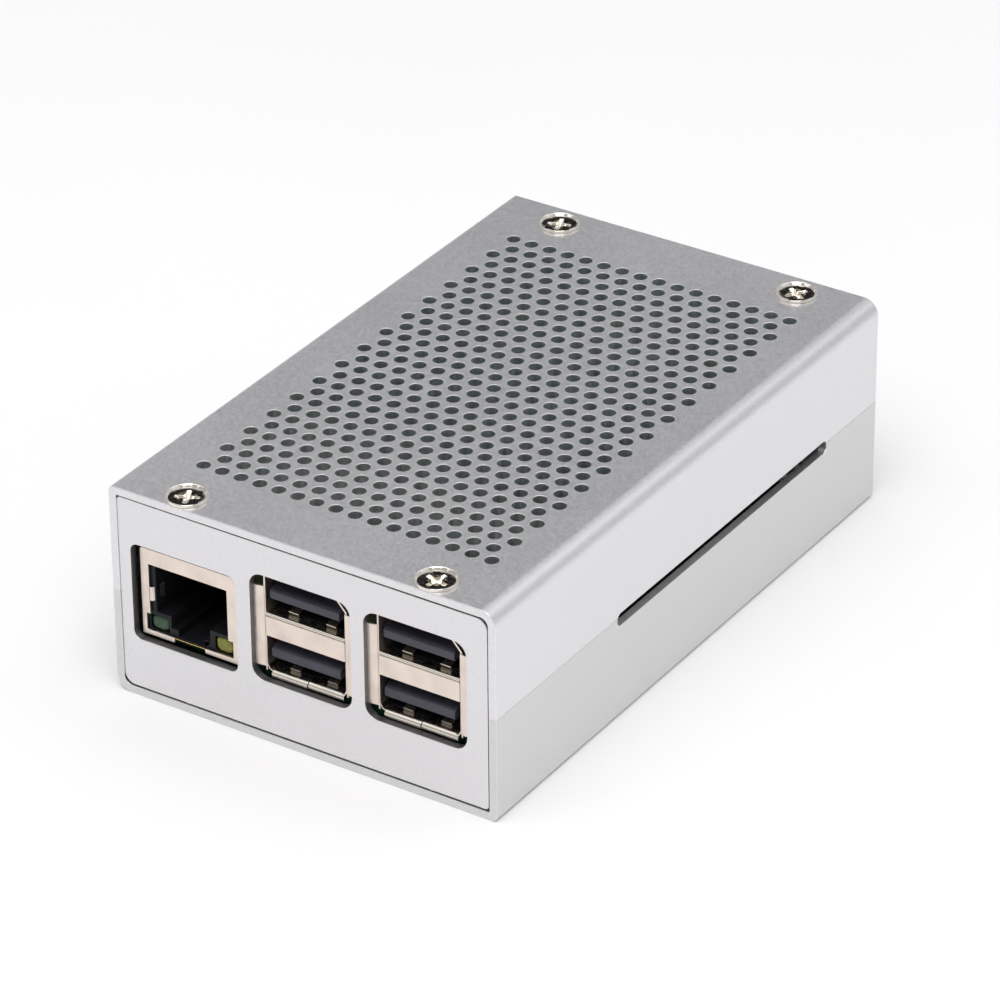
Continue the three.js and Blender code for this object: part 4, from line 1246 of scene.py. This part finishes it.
def make_status_light(node):
    low, high, _ = box_mm(node)
    lens = block((low.x + 0.3, low.y, low.z + 0.2), (high.x - 0.3, high.y, high.z), 0.1)
    foot = block((low.x, low.y, low.z + 0.01), (high.x, high.y, low.z + 0.25), 0.05)
    Piece(node).add(CLEAR_LIGHT, lens).add(GOLD, foot).done("status_light")


def keep_out():
    """Board areas (x0, x1, y0, y1) that larger parts take, a little widened."""
    areas = []
    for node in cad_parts:
        low, high, _ = box_mm(node)
        x, y = (low.x + high.x) / 2, (low.y + high.y) / 2
        inside = BOARD_LOW.x < x < BOARD_HIGH.x and BOARD_LOW.y - 5 < y < BOARD_HIGH.y
        small = high.x - low.x < 30 and high.y - low.y < 55
        if inside and small and high.z > BOARD_TOP + 0.1 and low.z < BOARD_TOP + 3:
            areas.append((low.x - 0.9, high.x + 0.9, low.y - 0.9, high.y + 0.9))
    return areas


def printed_frame(x0, x1, y0, y1, width=0.13):
    """A thin printed line round a part's place on the board."""
    inner, outer = [
        [(x0 - g, y0 - g), (x1 + g, y0 - g), (x1 + g, y1 + g), (x0 - g, y1 + g)]
        for g in (-width / 2, width / 2)
    ]
    return sheet(outer, BOARD_TOP + 0.002, BOARD_TOP + 0.022, 0.004, [inner], steps=1)


def chip_part(x, y, dx, dy, cap, high, finish):
    """A chip capacitor or resistor and its two soldered ends, which lie across its longer side."""
    if dy > dx:
        ends = ((x, y, x + dx, y + cap), (x, y + dy - cap, x + dx, y + dy))
    else:
        ends = ((x, y, x + cap, y + dy), (x + dx - cap, y, x + dx, y + dy))
    shapes = [
        (SOLDER, block((x0 - 0.03, y0 - 0.03, BOARD_TOP), (x1 + 0.03, y1 + 0.03, high + 0.02), 0.06, 1))
        for x0, y0, x1, y1 in ends
    ]
    low = (x + 0.02, y + 0.02, BOARD_TOP + 0.03)
    return shapes + [(finish, block(low, (x + dx - 0.02, y + dy - 0.02, high), 0.05, 1))]


def make_small_parts():
    """Chip capacitors and resistors in short rows, their outlines printed on the board."""
    rng = random.Random(7)
    taken = keep_out()
    body = Piece("small_capacitors")
    dark = Piece("small_resistors")
    marks = Piece("board_marking")
    sizes = ((1.0, 0.5, 0.5), (1.6, 0.8, 0.8), (0.6, 0.3, 0.3))

    def free(x0, x1, y0, y1):
        off_x = x0 < BOARD_LOW.x + 1.2 or x1 > BOARD_HIGH.x - 1.2
        off_y = y0 < BOARD_LOW.y + 1.5 or y1 > BOARD_HIGH.y - 1.2
        return not off_x and not off_y and all(x1 < a or x0 > b or y1 < c or y0 > d for a, b, c, d in taken)

    for _ in range(420):
        length, width, height = sizes[rng.choices((0, 1, 2), (6, 2, 3))[0]]
        upright = rng.random() < 0.5
        count = rng.randint(1, 5)
        x = rng.uniform(BOARD_LOW.x, BOARD_HIGH.x)
        y = rng.uniform(BOARD_LOW.y, BOARD_HIGH.y)
        step = width + 0.55
        dx, dy = (width, length) if upright else (length, width)
        run = step * (count - 1)
        x1, y1 = (x + dx + run, y + dy) if upright else (x + dx, y + dy + run)
        place = (x - 0.35, x1 + 0.35, y - 0.35, y1 + 0.35)
        if not free(*place):
            continue
        taken.append(place)
        resistor = rng.random() < 0.45
        high = BOARD_TOP + (height * 0.45 if resistor else height)
        for i in range(count):
            px, py = (x + step * i, y) if upright else (x, y + step * i)
            finish = FERRITE if resistor else TAN_CERAMIC
            for used, shape in chip_part(px, py, dx, dy, length * 0.22, high, finish):
                (dark if resistor else body).add(used, shape)
        if rng.random() < 0.6:
            marks.add(MARKING, printed_frame(x - 0.25, x1 + 0.25, y - 0.25, y1 + 0.25))
    for node in ("processor_chip", "port_hub_chip", "power_chip", "crystal_can", "audio_jack", "pin_header"):
        low, high, _ = box_mm(node)
        left, right = max(low.x - 0.8, BOARD_LOW.x + 0.4), min(high.x + 0.8, BOARD_HIGH.x - 0.4)
        marks.add(MARKING, printed_frame(left, right, low.y - 0.8, high.y + 0.8, 0.16))
    body.done("chip_package")
    dark.done("chip_package")
    marks.done("solder_mask")


# ---- stage, light and camera

def make_stage():
    bpy.ops.mesh.primitive_plane_add(size=6, location=(0, 0, 0))
    floor = bpy.context.object
    floor.name = "floor"
    f = Finish("pale_floor", (0.9, 0.9, 0.9), 0.6)
    f.paint(f.mix(f.ramp(f.noise(0.01, 2.0), 0.3, 0.7), (0.855, 0.85, 0.855), (0.87, 0.865, 0.87)))
    floor.data.materials.append(f.material)


def direction(azimuth, elevation):
    """Unit vector; azimuth 0 is in front of the ports, 90 at the object's right."""
    a, e = math.radians(azimuth), math.radians(elevation)
    return Vector((math.sin(a) * math.cos(e), -math.cos(a) * math.cos(e), math.sin(e)))


def area_light(name, azimuth, elevation, distance, size, power):
    """A square softbox that looks at the object."""
    light = bpy.data.lights.new(name, "AREA")
    light.shape = "SQUARE"
    light.size = size
    light.energy = power
    lamp = linked(bpy.data.objects.new(name, light))
    lamp.location = direction(azimuth, elevation) * distance
    lamp.rotation_euler = (-lamp.location).to_track_quat("-Z", "Y").to_euler()


# Where the flat tops reflect, seen from the camera: a dark part of the studio.
MIRRORED = (-0.472, 0.720, 0.509)
WARM_FRONT = (1.0, 0.978, 0.974)
COOL_BACK = (0.965, 0.975, 1.0)
WORLD_FRONT = 0.48
WORLD_BACK = 0.62


def make_world():
    """A studio that is white on the camera's side, grey at the back, with one dark patch."""
    world = bpy.data.worlds.new("studio")
    bpy.context.scene.world = world
    world.use_nodes = True
    background = world.node_tree.nodes["Background"].inputs
    w = Nodes(world.node_tree)
    place = w.node("ShaderNodeTexCoord").outputs["Generated"]
    y = w.node("ShaderNodeSeparateXYZ", {0: place}).outputs["Y"]
    dot_product = w.node("ShaderNodeVectorMath", {0: place, 1: MIRRORED}, operation="DOT_PRODUCT")
    depth = w.ramp(y, -0.3, 0.5, WORLD_FRONT, WORLD_BACK, "SMOOTHSTEP")
    patch = w.ramp(dot_product.outputs["Value"], 0.982, 0.993, 1.0, 0.03, "SMOOTHSTEP")
    w.put(background["Strength"], w.times(depth, patch))
    w.put(background["Color"], w.mix(w.ramp(y, -0.3, 0.5, curve="SMOOTHSTEP"), WARM_FRONT, COOL_BACK))


def make_lights():
    make_world()
    area_light("key", -50, 50, 1.2, 0.9, 1.9)
    area_light("front_fill", 30, 62, 1.3, 1.0, 8.5)
    area_light("right_fill", 100, 35, 1.2, 0.9, 0.6)
    area_light("back_right", 140, 50, 1.3, 0.8, 1.2)
    area_light("overhead", 0, 88, 1.3, 1.2, 3.6)


CAMERA_AZIMUTH = 33.26
CAMERA_ELEVATION = 30.6
CAMERA_ROLL = -0.5
CAMERA_DISTANCE = 741.8
CAMERA_AIM = Vector((-0.3, -0.9, 14.9))
CAMERA_LENS = 193.1


def make_camera():
    data = bpy.data.cameras.new("camera")
    data.lens = CAMERA_LENS
    data.sensor_width = 36
    data.clip_start = 0.05
    data.clip_end = 20
    camera = linked(bpy.data.objects.new("camera", data))
    away = direction(CAMERA_AZIMUTH, CAMERA_ELEVATION)
    camera.location = (CAMERA_AIM + away * CAMERA_DISTANCE) * MM
    level = (-away).to_track_quat("-Z", "Y").to_matrix()
    roll = Matrix.Rotation(math.radians(CAMERA_ROLL), 3, "Z")
    camera.rotation_euler = (level @ roll).to_euler()
    bpy.context.scene.camera = camera


# ---- assembly

make_camera()
make_shells()
make_brackets()
make_screws()
make_spacers()
make_ethernet()
for socket_number in (1, 2):
    make_usb(socket_number)
make_side_socket("hdmi", 2.2, 2.1, 9, 1.0)
make_side_socket("power", 1.1, 1.2, 5, 0.65)
make_audio_jack()
for ribbon in ("camera", "display"):
    make_ribbon(ribbon)
make_header()
make_card()
make_board()
make_chip("processor_chip", 0.25, 0.35, lidded=True)
make_chip("port_hub_chip", 0.12, 0.45, (14, 0.55, 0.25))
make_chip("power_chip", 0.1, 0.3, (7, 0.6, 0.2))
make_chip("memory_chip", 0)
make_coil()
make_crystal()
make_capacitor()
for status_light in ("power_light", "activity_light"):
    make_status_light(status_light)
make_small_parts()
make_stage()
make_lights()
bpy.context.scene.view_settings.view_transform = "Standard"
